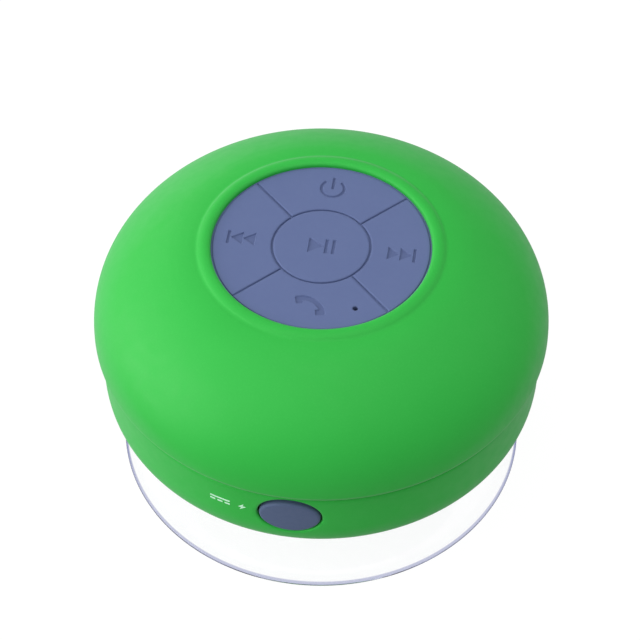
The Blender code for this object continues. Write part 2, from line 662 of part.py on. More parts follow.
# ---------------------------------------------------------------- the whole
def build():
    clear_scene()
    upper_shell()
    lower_shell()
    seam_gasket()
    base_grille()
    grille_mesh()
    fasteners()
    suction_cup()
    cup_retainer()
    keys()
    keypad_web()
    switches()
    key_board()
    charge_board()
    board_ribbon()
    battery()
    driver()
    port_plug()
    plug_tether()


build()
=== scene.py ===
"""Looks of the shower speaker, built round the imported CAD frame.

Meshes are drawn in millimetres and scaled to metres when they become pieces. The frame has +Z up,
away from the wall or table that the cup holds, and the charging port faces -Y.
"""

import json
import math

import bmesh
import bpy
from mathutils import Matrix, Vector


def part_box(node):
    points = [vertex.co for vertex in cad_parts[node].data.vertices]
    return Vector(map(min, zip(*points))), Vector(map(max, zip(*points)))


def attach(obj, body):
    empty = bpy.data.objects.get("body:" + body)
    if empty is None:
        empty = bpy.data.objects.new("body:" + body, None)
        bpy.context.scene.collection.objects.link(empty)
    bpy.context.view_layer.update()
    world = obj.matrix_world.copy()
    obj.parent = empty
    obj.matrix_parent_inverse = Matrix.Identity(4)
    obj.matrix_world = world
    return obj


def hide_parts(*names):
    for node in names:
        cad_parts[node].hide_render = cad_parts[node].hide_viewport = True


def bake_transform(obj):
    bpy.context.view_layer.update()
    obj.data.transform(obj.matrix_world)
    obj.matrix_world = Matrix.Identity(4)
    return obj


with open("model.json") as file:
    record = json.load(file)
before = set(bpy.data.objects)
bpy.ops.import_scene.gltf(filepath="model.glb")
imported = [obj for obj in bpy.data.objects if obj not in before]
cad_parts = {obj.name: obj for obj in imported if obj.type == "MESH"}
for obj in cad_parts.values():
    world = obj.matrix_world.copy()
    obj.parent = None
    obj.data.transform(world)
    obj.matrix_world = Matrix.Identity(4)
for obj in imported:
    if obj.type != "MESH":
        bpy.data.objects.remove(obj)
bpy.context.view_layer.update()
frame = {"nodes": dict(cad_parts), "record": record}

MM = 0.001
TURN = 2 * math.pi
WELD = 1e-5               # points closer than this become one


# ---- sizes read from the frame
def box_mm(node):
    """(lowest, highest) corner of a CAD node, in millimetres."""
    low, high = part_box(node)
    return low / MM, high / MM


def middle_mm(node):
    low, high = box_mm(node)
    return (low + high) / 2


BODY_RADIUS = box_mm("upper_shell")[1].x
LIP_TOP_Z = box_mm("upper_shell")[1].z
BASE_Z = box_mm("lower_shell")[0].z
BAND_RADIUS = box_mm("lower_shell")[1].x
SPIGOT_TOP_Z = box_mm("lower_shell")[1].z
GASKET = box_mm("seam_gasket")
KEY_RADIUS = box_mm("next_key")[1].x
KEY_UNDER_PIP_Z = box_mm("next_key")[0].z
KEY_TOP_Z = box_mm("next_key")[1].z
CENTRE_KEY_RADIUS = box_mm("play_key")[1].x
WEB = box_mm("keypad_web")
CUP_RADIUS = box_mm("suction_cup")[1].x
CUP_TOP_Z = box_mm("suction_cup")[1].z
GRILLE = box_mm("base_grille")
MESH = box_mm("grille_mesh")
PLUG = box_mm("port_plug")
TETHER = box_mm("plug_tether")
SOCKET = box_mm("usb_socket")
MIC_PLACE = middle_mm("microphone")
BOARD_TOP_Z = box_mm("key_board")[1].z
SURROUND = box_mm("driver_surround")
SPIDER = box_mm("driver_spider")

# ---- shape of the looks
FINE = 0.3                # gap that neighbouring pieces keep
EQUATOR_Z = 33.35         # widest ring of the dome
DOME_APEX_Z = 56.5        # where the dome curve would close, were it not cut by the keypad
DOME_POWER = 2.25         # how square the dome's shoulder is, where 2 would be an ellipse
DOME_END_RADIUS = 28.0    # the dome curve ends here, and flattens towards the lip
LIP_LINE = (              # (radius, depth below the lip's crest), from the dome's end to the crest and in
    (26.4, 1.29), (24.9, 0.92), (23.9, 0.74), (23.3, 0.66), (22.95, 0.54), (22.6, 0.31),
    (22.15, 0.11), (21.6, 0.0), (21.05, 0.02), (20.65, 0.17), (20.4, 0.48),
)
COLLAR_RADIUS = KEY_RADIUS + 0.28
COLLAR_TOP_DROP = 1.0     # the lip's inner edge, below its crest
COLLAR_FOOT_Z = 51.0 + FINE
WALL = 2.3                # of the dome
POST_RADIUS = 2.8         # round each shell screw, in both shells
CORNER_Z = 23.5           # the band starts to turn under here
CORNER_POWER = 2.85       # how square that turn is
BASE_FLAT_RADIUS = 35.8
SEAM_TOP_Z = GASKET[0].z + 0.1
SEAM_Z = SEAM_TOP_Z - FINE
SHELL_SIDES = 256

GROOVE = 0.31             # between two keys
KEY_FILLET = 0.28
KEY_UNDER_Z = 51.6
KEY_CROWN = 0.12          # how much higher the keypad's middle is than its edge
GRID_STEP = 0.25          # spacing of a key's mesh away from its symbol
ENGRAVE = 0.28            # depth of the symbols
ENGRAVE_WALL = 0.16       # width of their sloping walls
RIDGE_TOP_Z = 52.8        # the mat's ridges, seen at the bottom of the grooves

PORT_Z = (PLUG[0].z + PLUG[1].z) / 2
POCKET_GAP = 0.32         # beside the plug
POCKET_UP = 5.05          # reach of the pocket above and below the plug's middle
POCKET_DOWN = 4.25
POCKET_FLOOR_Y = -39.2
POCKET_FILLET = 0.45
PLUG_FILLET = 0.5
PORT_POINTS = 96
TETHER_STRAP_X = (-5.5, -4.9)
SHELL_SCREWS = [f"shell_screw_{i}" for i in (1, 2, 3, 4)]
GRILLE_SCREWS = [f"grille_screw_{i}" for i in (1, 2, 3)]
BOARD_SCREWS = [f"board_screw_{i}" for i in (1, 2, 3)]
CUP_SCREWS = [f"cup_screw_{i}" for i in (1, 2, 3)]
SLOT_COUNT = 12
RING_SECTORS = 12
RING_SPLIT = 0.02         # degrees between a sector's end and the middle of its joint with the next


# ---- mesh helpers
def arc(centre, radii, start, stop, steps):
    """Points of an elliptical arc round centre, from start to stop degrees."""
    cx, cy = centre
    rx, ry = radii
    angles = [math.radians(start + (stop - start) * i / steps) for i in range(steps + 1)]
    return [(cx + rx * math.cos(a), cy + ry * math.sin(a)) for a in angles]


def superellipse(centre, radii, power, stop, steps):
    """Points of a superellipse round centre, from its side to the angle stop, in radians.

    The angle stays within a quarter turn, where rounding can leave the cosine just below 0.
    """
    cx, cy = centre
    rx, ry = radii
    points = []
    for i in range(steps + 1):
        across, up = abs(math.cos(stop * i / steps)), math.sin(stop * i / steps)
        points.append((cx + rx * across**(2 / power), cy + ry * up**(2 / power)))
    return points


def smooth_line(points, per_span):
    """A Catmull-Rom curve through points, as tuples."""
    route = [Vector(p) for p in points]
    ends = [2 * route[0] - route[1]] + route + [2 * route[-1] - route[-2]]
    line = []
    for a, b, c, d in zip(ends, ends[1:], ends[2:], ends[3:]):
        for step in range(per_span):
            t = step / per_span
            line.append(tuple(0.5 * (2 * b + (c - a) * t + (2 * a - 5 * b + 4 * c - d) * t**2
                                     + (3 * b - a - 3 * c + d) * t**3)))
    return line + [tuple(route[-1])]


def turned(profile, segments):
    """The closed (radius, height) profile, turned right round the Z axis."""
    bm = bmesh.new()
    corners = [bm.verts.new((radius, 0, height)) for radius, height in profile]
    edges = []
    for here, there in zip(corners, corners[1:] + corners[:1]):
        if here.co.x > 1e-6 or there.co.x > 1e-6:
            edges.append(bm.edges.new((here, there)))
    bmesh.ops.spin(
        bm, geom=corners + edges, cent=(0, 0, 0), axis=(0, 0, 1),
        angle=TURN, steps=segments, use_merge=True,
    )
    bmesh.ops.remove_doubles(bm, verts=bm.verts, dist=WELD)
    return outward(bm)


def outward(bm):
    """The mesh, with its faces turned outwards."""
    bmesh.ops.recalc_face_normals(bm, faces=bm.faces)
    return bm


def moved(bm, step):
    bmesh.ops.translate(bm, vec=step, verts=bm.verts)
    return bm


def spun(bm, angle, axis="Z"):
    """The mesh, turned by an angle in radians about an axis through the origin."""
    bmesh.ops.rotate(bm, cent=(0, 0, 0), matrix=Matrix.Rotation(angle, 3, axis), verts=bm.verts)
    return bm


def rounded(bm, bevel):
    """The mesh, with all its edges rounded."""
    bmesh.ops.bevel(bm, geom=bm.edges, offset=bevel, segments=2, affect="EDGES", profile=0.5)
    return bm


def rod(place, radius, low, high, segments=24):
    """An upright cylinder at place = (x, y)."""
    bm = bmesh.new()
    bmesh.ops.create_cone(
        bm, cap_ends=True, segments=segments, radius1=radius, radius2=radius, depth=high - low
    )
    return moved(bm, (place[0], place[1], (low + high) / 2))


def rods(nodes, radius, low, high, segments=24):
    """An upright cylinder at the middle of each CAD node."""
    return [rod(middle_mm(node), radius, low, high, segments) for node in nodes]


def block(low, high, bevel=0.0):
    """A box between two corners, with its edges rounded where bevel isn't 0."""
    bm = bmesh.new()
    bmesh.ops.create_cube(bm, size=1)
    size = Vector(high) - Vector(low)
    middle = (Vector(high) + Vector(low)) / 2
    place = Matrix.Translation(middle) @ Matrix.Diagonal((*size, 1))
    bmesh.ops.transform(bm, matrix=place, verts=bm.verts)
    return rounded(bm, bevel) if bevel else bm


def lofted(loops):
    """A closed skin through loops of points, each loop with the same number of points."""
    bm = bmesh.new()
    rings = [[bm.verts.new(p) for p in loop] for loop in loops]
    for ring, following in zip(rings, rings[1:]):
        for i in range(len(ring)):
            j = (i + 1) % len(ring)
            bm.faces.new((ring[i], ring[j], following[j], following[i]))
    bm.faces.new(rings[0][::-1])
    bm.faces.new(rings[-1])
    return outward(bm)


def joined(shapes):
    """Several meshes as one mesh, not welded to each other."""
    whole = bmesh.new()
    for shape in shapes:
        mesh = bpy.data.meshes.new("part")
        shape.to_mesh(mesh)
        shape.free()
        whole.from_mesh(mesh)
        bpy.data.meshes.remove(mesh)
    return whole


def combined(bm, other, operation):
    """bm after a Boolean with other. Both are closed meshes."""
    objects = []
    for shape in (bm, other):
        mesh = bpy.data.meshes.new("operand")
        shape.to_mesh(mesh)
        shape.free()
        obj = bpy.data.objects.new("operand", mesh)
        bpy.context.scene.collection.objects.link(obj)
        objects.append(obj)
    modifier = objects[0].modifiers.new("Boolean", "BOOLEAN")
    modifier.operation = operation
    modifier.solver = "EXACT"
    modifier.object = objects[1]
    evaluated = objects[0].evaluated_get(bpy.context.evaluated_depsgraph_get())
    result = bmesh.new()
    result.from_mesh(evaluated.to_mesh())
    for obj in objects:
        bpy.data.objects.remove(obj)
    return result


def cut(bm, *cutters):
    return combined(bm, joined(cutters), "DIFFERENCE")


def welded(bm, *shapes):
    for shape in shapes:
        bm = combined(bm, shape, "UNION")
    return bm


def polar(radius, degrees):
    angle = math.radians(degrees)
    return radius * math.cos(angle), radius * math.sin(angle)


def fillet_step(radius, degrees):
    """(inset, depth) on a rounded edge, from its wall at 0 to its face at 90 degrees."""
    turn = math.radians(degrees)
    return radius * (1 - math.cos(turn)), radius * (1 - math.sin(turn))


def piece(name, bm, finish, body=None, replaces=(), sharp=35):
    """Makes a piece from a mesh in millimetres, and puts it on its CAD body."""
    bmesh.ops.scale(bm, vec=(MM, MM, MM), verts=bm.verts)
    mesh = bpy.data.meshes.new(name)
    bm.to_mesh(mesh)
    bm.free()
    mesh.shade_smooth()
    mesh.set_sharp_from_angle(angle=math.radians(sharp))
    mesh.materials.clear()
    mesh.materials.append(finish)
    obj = bpy.data.objects.new(name, mesh)
    bpy.context.scene.collection.objects.link(obj)
    if body:
        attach(obj, body)
    if replaces:
        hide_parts(*replaces)
    return obj


# ---- material helpers
class Shader:
    """A Principled material that is being wired. Lengths are in millimetres of the object."""

    def __init__(self, name, **sockets):
        self.material = bpy.data.materials.new(name)
        self.material.use_nodes = True
        self.tree = self.material.node_tree
        self.bsdf = self.tree.nodes["Principled BSDF"]
        self.place = self.node("ShaderNodeTexCoord").outputs["Object"]
        for socket, value in sockets.items():
            self.bsdf.inputs[socket.replace("_", " ")].default_value = value

    def node(self, kind, **values):
        made = self.tree.nodes.new(kind)
        for name, value in values.items():
            if name in made.inputs:
                made.inputs[name].default_value = value
            else:
                setattr(made, name, value)
        return made

    def link(self, out, into):
        self.tree.links.new(out, into)

    def height(self):
        """The object's Z coordinate, in metres."""
        apart = self.node("ShaderNodeSeparateXYZ")
        self.link(self.place, apart.inputs[0])
        return apart.outputs["Z"]

    def painted_sheen_share(self, most, start, end):
        """A share of painted sheen, which grows to most where the surface turns away from the view."""
        weight = self.node("ShaderNodeLayerWeight", Blend=0.5)
        return self.spread(weight.outputs["Facing"], 0, most, start, end)

    def stretched(self, scale):
        """The object's coordinates, scaled along each axis."""
        mapping = self.node("ShaderNodeMapping")
        mapping.inputs["Scale"].default_value = scale
        self.link(self.place, mapping.inputs["Vector"])
        return mapping.outputs["Vector"]

    def noise(self, size, detail=2.0, vector=None):
        """Noise whose blobs are about size across."""
        made = self.node("ShaderNodeTexNoise", Scale=1 / (size * MM), Detail=detail)
        self.link(vector or self.place, made.inputs["Vector"])
        return made.outputs["Fac"]

    def cells(self, size):
        """Distance from the middle of the nearest of many cells, about size across."""
        made = self.node("ShaderNodeTexVoronoi", Scale=1 / (size * MM))
        self.link(self.place, made.inputs["Vector"])
        return made.outputs["Distance"]

    def waves(self, pitch, direction):
        """Straight bands, pitch apart, across the X, Y or Z axis."""
        made = self.node("ShaderNodeTexWave", Scale=TURN / (20 * pitch * MM))
        made.bands_direction = direction
        self.link(self.place, made.inputs["Vector"])
        return made.outputs["Fac"]

    def spread(self, fac, low, high, start=0.0, end=1.0):
        """fac from start to end, as low to high."""
        made = self.node("ShaderNodeMapRange")
        made.inputs["From Min"].default_value = start
        made.inputs["From Max"].default_value = end
        made.inputs["To Min"].default_value = low
        made.inputs["To Max"].default_value = high
        self.link(fac, made.inputs["Value"])
        return made.outputs["Result"]

    def mixed(self, fac, first, second):
        """A colour between two colours, or colour outputs."""
        made = self.node("ShaderNodeMix")
        made.data_type = "RGBA"
        self.link(fac, made.inputs["Factor"])
        sockets = [socket for socket in made.inputs if socket.type == "RGBA"]
        for socket, colour in zip(sockets, (first, second)):
            if isinstance(colour, tuple):
                socket.default_value = (*colour, 1)
            else:
                self.link(colour, socket)
        return next(socket for socket in made.outputs if socket.type == "RGBA")

    def times(self, first, second):
        made = self.node("ShaderNodeMath", operation="MULTIPLY")
        self.link(first, made.inputs[0])
        self.link(second, made.inputs[1])
        return made.outputs[0]

    def paint(self, colour):
        self.link(colour, self.bsdf.inputs["Base Color"])

    def rough(self, value):
        self.link(value, self.bsdf.inputs["Roughness"])

    def bump(self, height, depth):
        """Adds relief that is depth millimetres deep to what is there."""
        made = self.node("ShaderNodeBump", Strength=1.0, Distance=depth * MM)
        self.link(height, made.inputs["Height"])
        before = self.bsdf.inputs["Normal"]
        if before.is_linked:
            self.link(before.links[0].from_socket, made.inputs["Normal"])
        self.link(made.outputs["Normal"], before)

    def mottle(self, size, detail, first, second):
        """Paint that wanders between two colours, in patches about size across."""
        self.paint(self.mixed(self.noise(size, detail), first, second))

    def wear(self, size, detail, low, high):
        """Roughness that wanders from low to high, in patches about size across."""
        self.rough(self.spread(self.noise(size, detail), low, high, 0.3, 0.7))

    def grain(self, size, detail, depth):
        """Relief from noise, with grains about size across."""
        self.bump(self.noise(size, detail), depth)


# ---- finishes
SLATE = ((0.090, 0.123, 0.262), (0.099, 0.134, 0.277))
# The plug's slate is a darker copy of the keys' slate: painted shade on the plug.
SHADED_PLUG_SLATE = ((0.068, 0.100, 0.190), (0.078, 0.112, 0.206))


def soft_touch_green():
    """Satin soft-touch paint: green with a faint mottle and grain, and a painted sheen that makes it paler
    where it turns away.
    """
    made = Shader("soft_touch_green", Specular_IOR_Level=0.24, Sheen_Weight=0.05, Sheen_Roughness=0.3)
    broad = made.mixed(made.noise(14), (0.020, 0.392, 0.044), (0.024, 0.415, 0.050))
    speck = made.spread(made.noise(0.35, 3), 0, 0.3, 0.5, 0.75)
    broad = made.mixed(speck, broad, (0.033, 0.465, 0.060))
    # Painted sheen: paler green where the surface turns away from the view.
    edge = made.painted_sheen_share(0.75, 0.45, 0.9)
    made.paint(made.mixed(edge, broad, (0.085, 0.44, 0.125)))
    made.wear(2.5, 4, 0.44, 0.56)
    made.grain(1.1, 2, 0.005)
    made.grain(0.16, 3, 0.003)
    return made.material


def silicone_slate(name, colours=SLATE, painted_hollow_shade=False):
    """Matt moulded silicone with a fine grain and pale dust, and a painted sheen that makes it paler where it
    turns away.

    Keys get painted shade, darker towards the bottom of each engraved hollow.
    """
    made = Shader(name, Specular_IOR_Level=0.25, Sheen_Weight=0.03, Sheen_Roughness=0.6)
    broad = made.mixed(made.noise(6, 3), *colours)
    dust = made.spread(made.cells(0.9), 0.35, 0, 0.0, 0.10)
    broad = made.mixed(dust, broad, (0.15, 0.19, 0.34))
    # Painted shade: darker towards the bottom of the engraved symbols.
    if painted_hollow_shade:
        bottom, brink = (KEY_TOP_Z - ENGRAVE) * MM, (KEY_TOP_Z - 0.03) * MM
        low = made.spread(made.height(), 0.28, 0, bottom, brink)
        broad = made.mixed(low, broad, (0.042, 0.058, 0.140))
    # Painted sheen: paler slate where the surface turns away from the view.
    edge = made.painted_sheen_share(0.6, 0.6, 1.0)
    made.paint(made.mixed(edge, broad, (0.19, 0.24, 0.42)))
    made.wear(1.2, 4, 0.50, 0.66)
    made.grain(0.22, 4, 0.008)
    return made.material


def clear_vinyl():
    """Soft clear vinyl with a lavender cast that is deepened in the thick rim, partly as the vinyl's own
    colour there and partly as painted refraction: the darker line that the thick rim shows.
    """
    made = Shader("clear_vinyl", Transmission_Weight=1.0, IOR=1.25, Roughness=0.03)
    flat = made.stretched((1, 1, 0))
    radius = made.node("ShaderNodeVectorMath", operation="LENGTH")
    made.link(flat, radius.inputs[0])
    # The rim's deep lavender is partly the vinyl's own cast and partly painted refraction of darker
    # surroundings.
    rim = made.spread(radius.outputs["Value"], 0, 1, (CUP_RADIUS - 0.60) * MM, (CUP_RADIUS - 0.38) * MM)
    cast = made.mixed(made.noise(9, 2), (0.985, 0.985, 0.997), (0.992, 0.992, 0.999))
    made.paint(made.mixed(rim, cast, (0.30, 0.32, 0.52)))
    made.grain(3.5, 2, 0.02)
    return made.material


def brushed_steel():
    made = Shader("brushed_steel", Metallic=1.0)
    streaks = made.noise(0.2, 4, made.stretched((1.0, 0.08, 1.0)))
    made.paint(made.mixed(streaks, (0.46, 0.46, 0.48), (0.68, 0.68, 0.70)))
    made.rough(made.spread(streaks, 0.24, 0.42, 0.3, 0.7))
    made.bump(streaks, 0.004)
    return made.material


def black_plastic():
    """Moulded plastic with a spark-eroded grain."""
    made = Shader("black_plastic", Specular_IOR_Level=0.45)
    made.mottle(2.0, 3, (0.012, 0.012, 0.013), (0.026, 0.026, 0.028))
    made.wear(0.8, 3, 0.42, 0.62)
    made.bump(made.cells(0.22), 0.012)
    return made.material


def white_plastic():
    made = Shader("white_plastic", Specular_IOR_Level=0.5)
    made.mottle(1.5, 3, (0.74, 0.74, 0.71), (0.82, 0.82, 0.80))
    made.wear(0.5, 3, 0.30, 0.48)
    made.grain(0.3, 3, 0.004)
    return made.material


def circuit_board():
    """Green solder mask over copper tracks, with gold vias."""
    made = Shader("circuit_board", Coat_Weight=0.3)
    tracks = made.spread(made.times(made.waves(1.1, "X"), made.noise(5, 0)), 0, 1, 0.36, 0.40)
    across = made.spread(made.times(made.waves(1.3, "Y"), made.noise(6, 0)), 0, 1, 0.40, 0.43)
    mask = made.mixed(tracks, (0.010, 0.095, 0.035), (0.022, 0.20, 0.070))
    mask = made.mixed(across, mask, (0.022, 0.20, 0.070))
    vias = made.spread(made.cells(2.4), 1, 0, 0.10, 0.13)
    made.paint(made.mixed(vias, mask, (0.72, 0.50, 0.20)))
    made.wear(1.5, 3, 0.22, 0.38)
    made.bump(tracks, 0.03)
    return made.material


def battery_pouch():
    """Crinkled aluminium laminate."""
    made = Shader("battery_pouch", Metallic=0.85)
    folds = made.noise(5, 3)
    made.paint(made.mixed(folds, (0.52, 0.54, 0.58), (0.68, 0.70, 0.74)))
    made.wear(1.0, 4, 0.24, 0.42)
    made.bump(folds, 0.25)
    made.grain(0.9, 3, 0.03)
    return made.material


def black_foam():
    """Foam with open cells, and painted shade that darkens the middle of each cell."""
    made = Shader("black_foam", Roughness=0.95)
    cells = made.cells(0.45)
    # Painted shade: darker in the middle of each open cell, paler at its walls.
    walls = made.spread(cells, 0, 1, 0.05, 0.5)
    made.paint(made.mixed(walls, (0.010, 0.010, 0.010), (0.055, 0.055, 0.057)))
    made.bump(cells, 0.10)
    return made.material


def black_rubber():
    made = Shader("black_rubber", Specular_IOR_Level=0.4, Sheen_Weight=0.1)
    made.mottle(1.5, 3, (0.012, 0.012, 0.012), (0.028, 0.028, 0.029))
    made.wear(0.6, 3, 0.55, 0.75)
    made.grain(0.25, 3, 0.012)
    return made.material


def ferrite():
    """Sintered magnet, dark grey with a metallic speck."""
    made = Shader("ferrite", Metallic=0.2)
    speck = made.spread(made.noise(0.25, 4), 0, 1, 0.55, 0.75)
    made.paint(made.mixed(speck, (0.030, 0.030, 0.034), (0.11, 0.11, 0.12)))
    made.rough(made.spread(speck, 0.62, 0.40))
    made.grain(0.3, 3, 0.02)
    return made.material


def cone_paper():
    """Pressed pulp with visible fibres."""
    made = Shader("cone_paper", Roughness=0.88)
    fibres = made.noise(0.5, 5, made.stretched((1.0, 0.25, 1.0)))
    made.paint(made.mixed(fibres, (0.020, 0.020, 0.022), (0.075, 0.075, 0.080)))
    made.bump(fibres, 0.05)
    return made.material


def spider_cloth():
    """Resin-dipped open weave."""
    made = Shader("spider_cloth", Roughness=0.7)
    weave = made.times(made.waves(0.5, "X"), made.waves(0.5, "Y"))
    made.paint(made.mixed(weave, (0.30, 0.17, 0.06), (0.62, 0.42, 0.17)))
    made.bump(weave, 0.06)
    return made.material


def copper_winding():
    """Enamelled wire, wound turn on turn."""
    made = Shader("copper_winding", Metallic=1.0)
    turns = made.waves(0.14, "Z")
    made.paint(made.mixed(turns, (0.42, 0.15, 0.05), (0.80, 0.36, 0.16)))
    made.wear(0.5, 3, 0.25, 0.40)
    made.bump(turns, 0.04)
    return made.material


def gold_plating():
    made = Shader("gold_plating", Metallic=1.0)
    wear = made.noise(0.3, 4)
    made.paint(made.mixed(wear, (0.62, 0.42, 0.14), (0.85, 0.62, 0.26)))
    made.rough(made.spread(wear, 0.2, 0.4, 0.3, 0.7))
    return made.material


def wire_jacket(name, dark, light):
    """Glossy insulation that has picked up a little wear."""
    made = Shader(name, Specular_IOR_Level=0.5)
    made.mottle(1.6, 3, dark, light)
    made.wear(0.6, 3, 0.32, 0.5)
    made.grain(0.5, 2, 0.01)
    return made.material


def mint_ink():
    """Pad-printed ink, thin in places."""
    made = Shader("mint_ink", Roughness=0.6)
    thin = made.spread(made.noise(0.25, 4), 0, 1, 0.35, 0.7)
    made.paint(made.mixed(thin, (0.62, 0.92, 0.72), (0.42, 0.80, 0.52)))
    made.grain(0.12, 3, 0.004)
    return made.material


def pale_floor():
    made = Shader("pale_floor", Roughness=0.9, Specular_IOR_Level=0.0, Emission_Strength=0.95)
    made.bsdf.inputs["Emission Color"].default_value = (1, 1, 1, 1)
    made.mottle(60, 2, (0.07, 0.07, 0.07), (0.08, 0.08, 0.08))
    return made.material


def finishes():
    """A material for each of the record's slots, and for the small extras."""
    return {
        "green_shell": soft_touch_green(),
        "slate_silicone": silicone_slate("silicone_slate"),
        "keys": silicone_slate("silicone_keys", painted_hollow_shade=True),
        "plug": silicone_slate("silicone_plug", SHADED_PLUG_SLATE),
        "clear_vinyl": clear_vinyl(),
        "steel": brushed_steel(),
        "black_plastic": black_plastic(),
        "white_plastic": white_plastic(),
        "circuit_board": circuit_board(),
        "battery_pouch": battery_pouch(),
        "black_foam": black_foam(),
        "black_rubber": black_rubber(),
        "ferrite": ferrite(),
        "cone_paper": cone_paper(),
        "spider_cloth": spider_cloth(),
        "copper": copper_winding(),
        "red_lead": wire_jacket("red_jacket", (0.42, 0.020, 0.016), (0.55, 0.035, 0.028)),
        "white_lead": wire_jacket("white_jacket", (0.70, 0.70, 0.67), (0.82, 0.82, 0.80)),
        "gold": gold_plating(),
        "ink": mint_ink(),
        "floor": pale_floor(),
    }


# ---- the dome
def dome_curve(radius, apex, steps, stop_radius):
    """(radius, height) points of the dome, from its widest ring up to stop_radius."""
    end = math.acos((stop_radius / radius) ** (DOME_POWER / 2))
    return superellipse((0, EQUATOR_Z), (radius, apex - EQUATOR_Z), DOME_POWER, end, steps)


def lip_line():
    """From the end of the dome, flattening to the lip's foot, over the lip and down to the collar."""
    end = dome_curve(BODY_RADIUS, DOME_APEX_Z, 1, DOME_END_RADIUS)[-1]
    line = [end] + [(radius, LIP_TOP_Z - drop) for radius, drop in LIP_LINE]
    return smooth_line(line + [(COLLAR_RADIUS, LIP_TOP_Z - COLLAR_TOP_DROP)], 4)


def dome_profile():
    """The shell's section: its edge at the seam, outside, lip, collar, inside and gasket groove."""
    edge_radius, bead, tuck = 40.9, 0.15, 41.0
    edge = [(edge_radius - bead, SEAM_TOP_Z)]
    edge += arc((edge_radius, SEAM_TOP_Z + bead), (bead, bead), -90, -30, 2)
    under = arc((tuck, EQUATOR_Z), (BODY_RADIUS - tuck, EQUATOR_Z - SEAM_TOP_Z - 0.2), -84, -6, 12)
    outside = edge + under + dome_curve(BODY_RADIUS, DOME_APEX_Z, 44, DOME_END_RADIUS)
    ledge = [(COLLAR_RADIUS, COLLAR_FOOT_Z), (23.6, COLLAR_FOOT_Z)]
    inside = dome_curve(BODY_RADIUS - WALL, DOME_APEX_Z - WALL, 16, 24.2)[::-1]
    skirt, groove, groove_top = 38.6, (39.0, 40.2), GASKET[1].z + FINE
    rim = [(skirt, 33.1), (skirt, SEAM_TOP_Z), (groove[0], SEAM_TOP_Z), (groove[0], groove_top),
           (groove[1], groove_top), (groove[1], SEAM_TOP_Z)]
    return outside + lip_line()[1:] + ledge + inside + rim


def dome(finish):
    """The upper shell, with the posts inside that take its screws and the key board's."""
    shell = turned(dome_profile(), SHELL_SIDES)
    foot = 15                 # below every post
    core = dome_curve(BODY_RADIUS - WALL / 2, DOME_APEX_Z - WALL / 2, 12, 22.0)
    core = turned([(0, foot), (core[0][0], foot)] + core + [(0, core[-1][1])], 64)
    posts = rods(SHELL_SCREWS, POST_RADIUS, 21.4, 52) + rods(BOARD_SCREWS, 2.3, BOARD_TOP_Z + FINE, 54)
    holes = rods(SHELL_SCREWS, 1.4, 20.4, 33.0) + rods(BOARD_SCREWS, 1.2, BOARD_TOP_Z, 49.6)
    posts = combined(joined(posts), core, "INTERSECT")
    shell = cut(welded(shell, posts), *holes)
    piece("dome", shell, finish, "housing", ["upper_shell"])


# ---- the base shell
def band_radius(z):
    """Outer radius of the base shell at height z."""
    if z >= CORNER_Z:
        return BAND_RADIUS
    share = min(1.0, (CORNER_Z - z) / (CORNER_Z - BASE_Z))
    side = (1 - share**CORNER_POWER) ** (1 / CORNER_POWER)
    return BASE_FLAT_RADIUS + (BAND_RADIUS - BASE_FLAT_RADIUS) * side


def corner_curve(steps):
    """(radius, height) points of the turn from the flat base up to the band."""
    size = (BAND_RADIUS - BASE_FLAT_RADIUS, BASE_Z - CORNER_Z)
    return superellipse((BASE_FLAT_RADIUS, CORNER_Z), size, CORNER_POWER, TURN / 4, steps)[::-1]


def port_loop(half_width, up, down, depth, surface):
    """An oval round the port's axis, set depth behind a surface whose radius at height z is surface(z)."""
    loop = []
    for i in range(PORT_POINTS):
        angle = TURN * i / PORT_POINTS
        x = half_width * math.cos(angle)
        z = PORT_Z + (up if math.sin(angle) > 0 else down) * math.sin(angle)
        loop.append((x, depth - math.sqrt(surface(z)**2 - x**2), z))
    return loop


def pocket_loop(grow, depth):
    """A loop round the plug's pocket, grown outwards and set depth behind the band's surface."""
    half_width = PLUG[1].x + POCKET_GAP + grow
    return port_loop(half_width, POCKET_UP + grow, POCKET_DOWN + grow, depth, band_radius)


def pocket_cutter():
    """The pocket's shape, with a rounded mouth that follows the band."""
    floor = [(x, POCKET_FLOOR_Y, z) for x, _, z in pocket_loop(0, 0)]
    loops = [floor, pocket_loop(0, POCKET_FILLET)]
    for degrees in (15, 30, 45, 60):
        loops.append(pocket_loop(*fillet_step(POCKET_FILLET, degrees)))
    last, reach = 65, 2.0     # from here the mouth runs straight out, past the band
    grow, depth = fillet_step(POCKET_FILLET, last)
    out, up = polar(reach, last)
    loops.append(pocket_loop(grow + up, depth - out))
    front = [(x, -50, z) for x, _, z in loops[-1]]
    return lofted(loops + [front])


def base_profile():
    """The base shell's section: mouth of the grille, band, spigot, inside and the grille's ledge."""
    fillet, straight, rows = 0.85, 6.2, 7
    band = [(BAND_RADIUS, CORNER_Z + straight * i / rows) for i in range(1, rows + 1)]
    top = arc((BAND_RADIUS - fillet, SEAM_Z - fillet), (fillet, fillet), 8, 90, 8)
    inner, outer, bevel = 37.0, 38.25, 0.2
    spigot = [(outer, SEAM_Z), (outer, SPIGOT_TOP_Z - bevel), (outer - bevel, SPIGOT_TOP_Z),
              (inner + bevel, SPIGOT_TOP_Z), (inner, SPIGOT_TOP_Z - bevel), (inner, 29.5), (39.4, 27.2)]
    opening, seat, lead = 26.3, 31.0, 0.3
    inside = arc((35.4, 24.0), (4.0, 4.0), 0, -90, 8) + [(opening, 20.0)]
    ledge = [(opening, 18.4), (seat, 18.4)]
    mouth = arc((seat + lead, BASE_Z + lead), (lead, lead), 180, 270, 3)
    return mouth + corner_curve(26) + band + top + spigot + inside + ledge


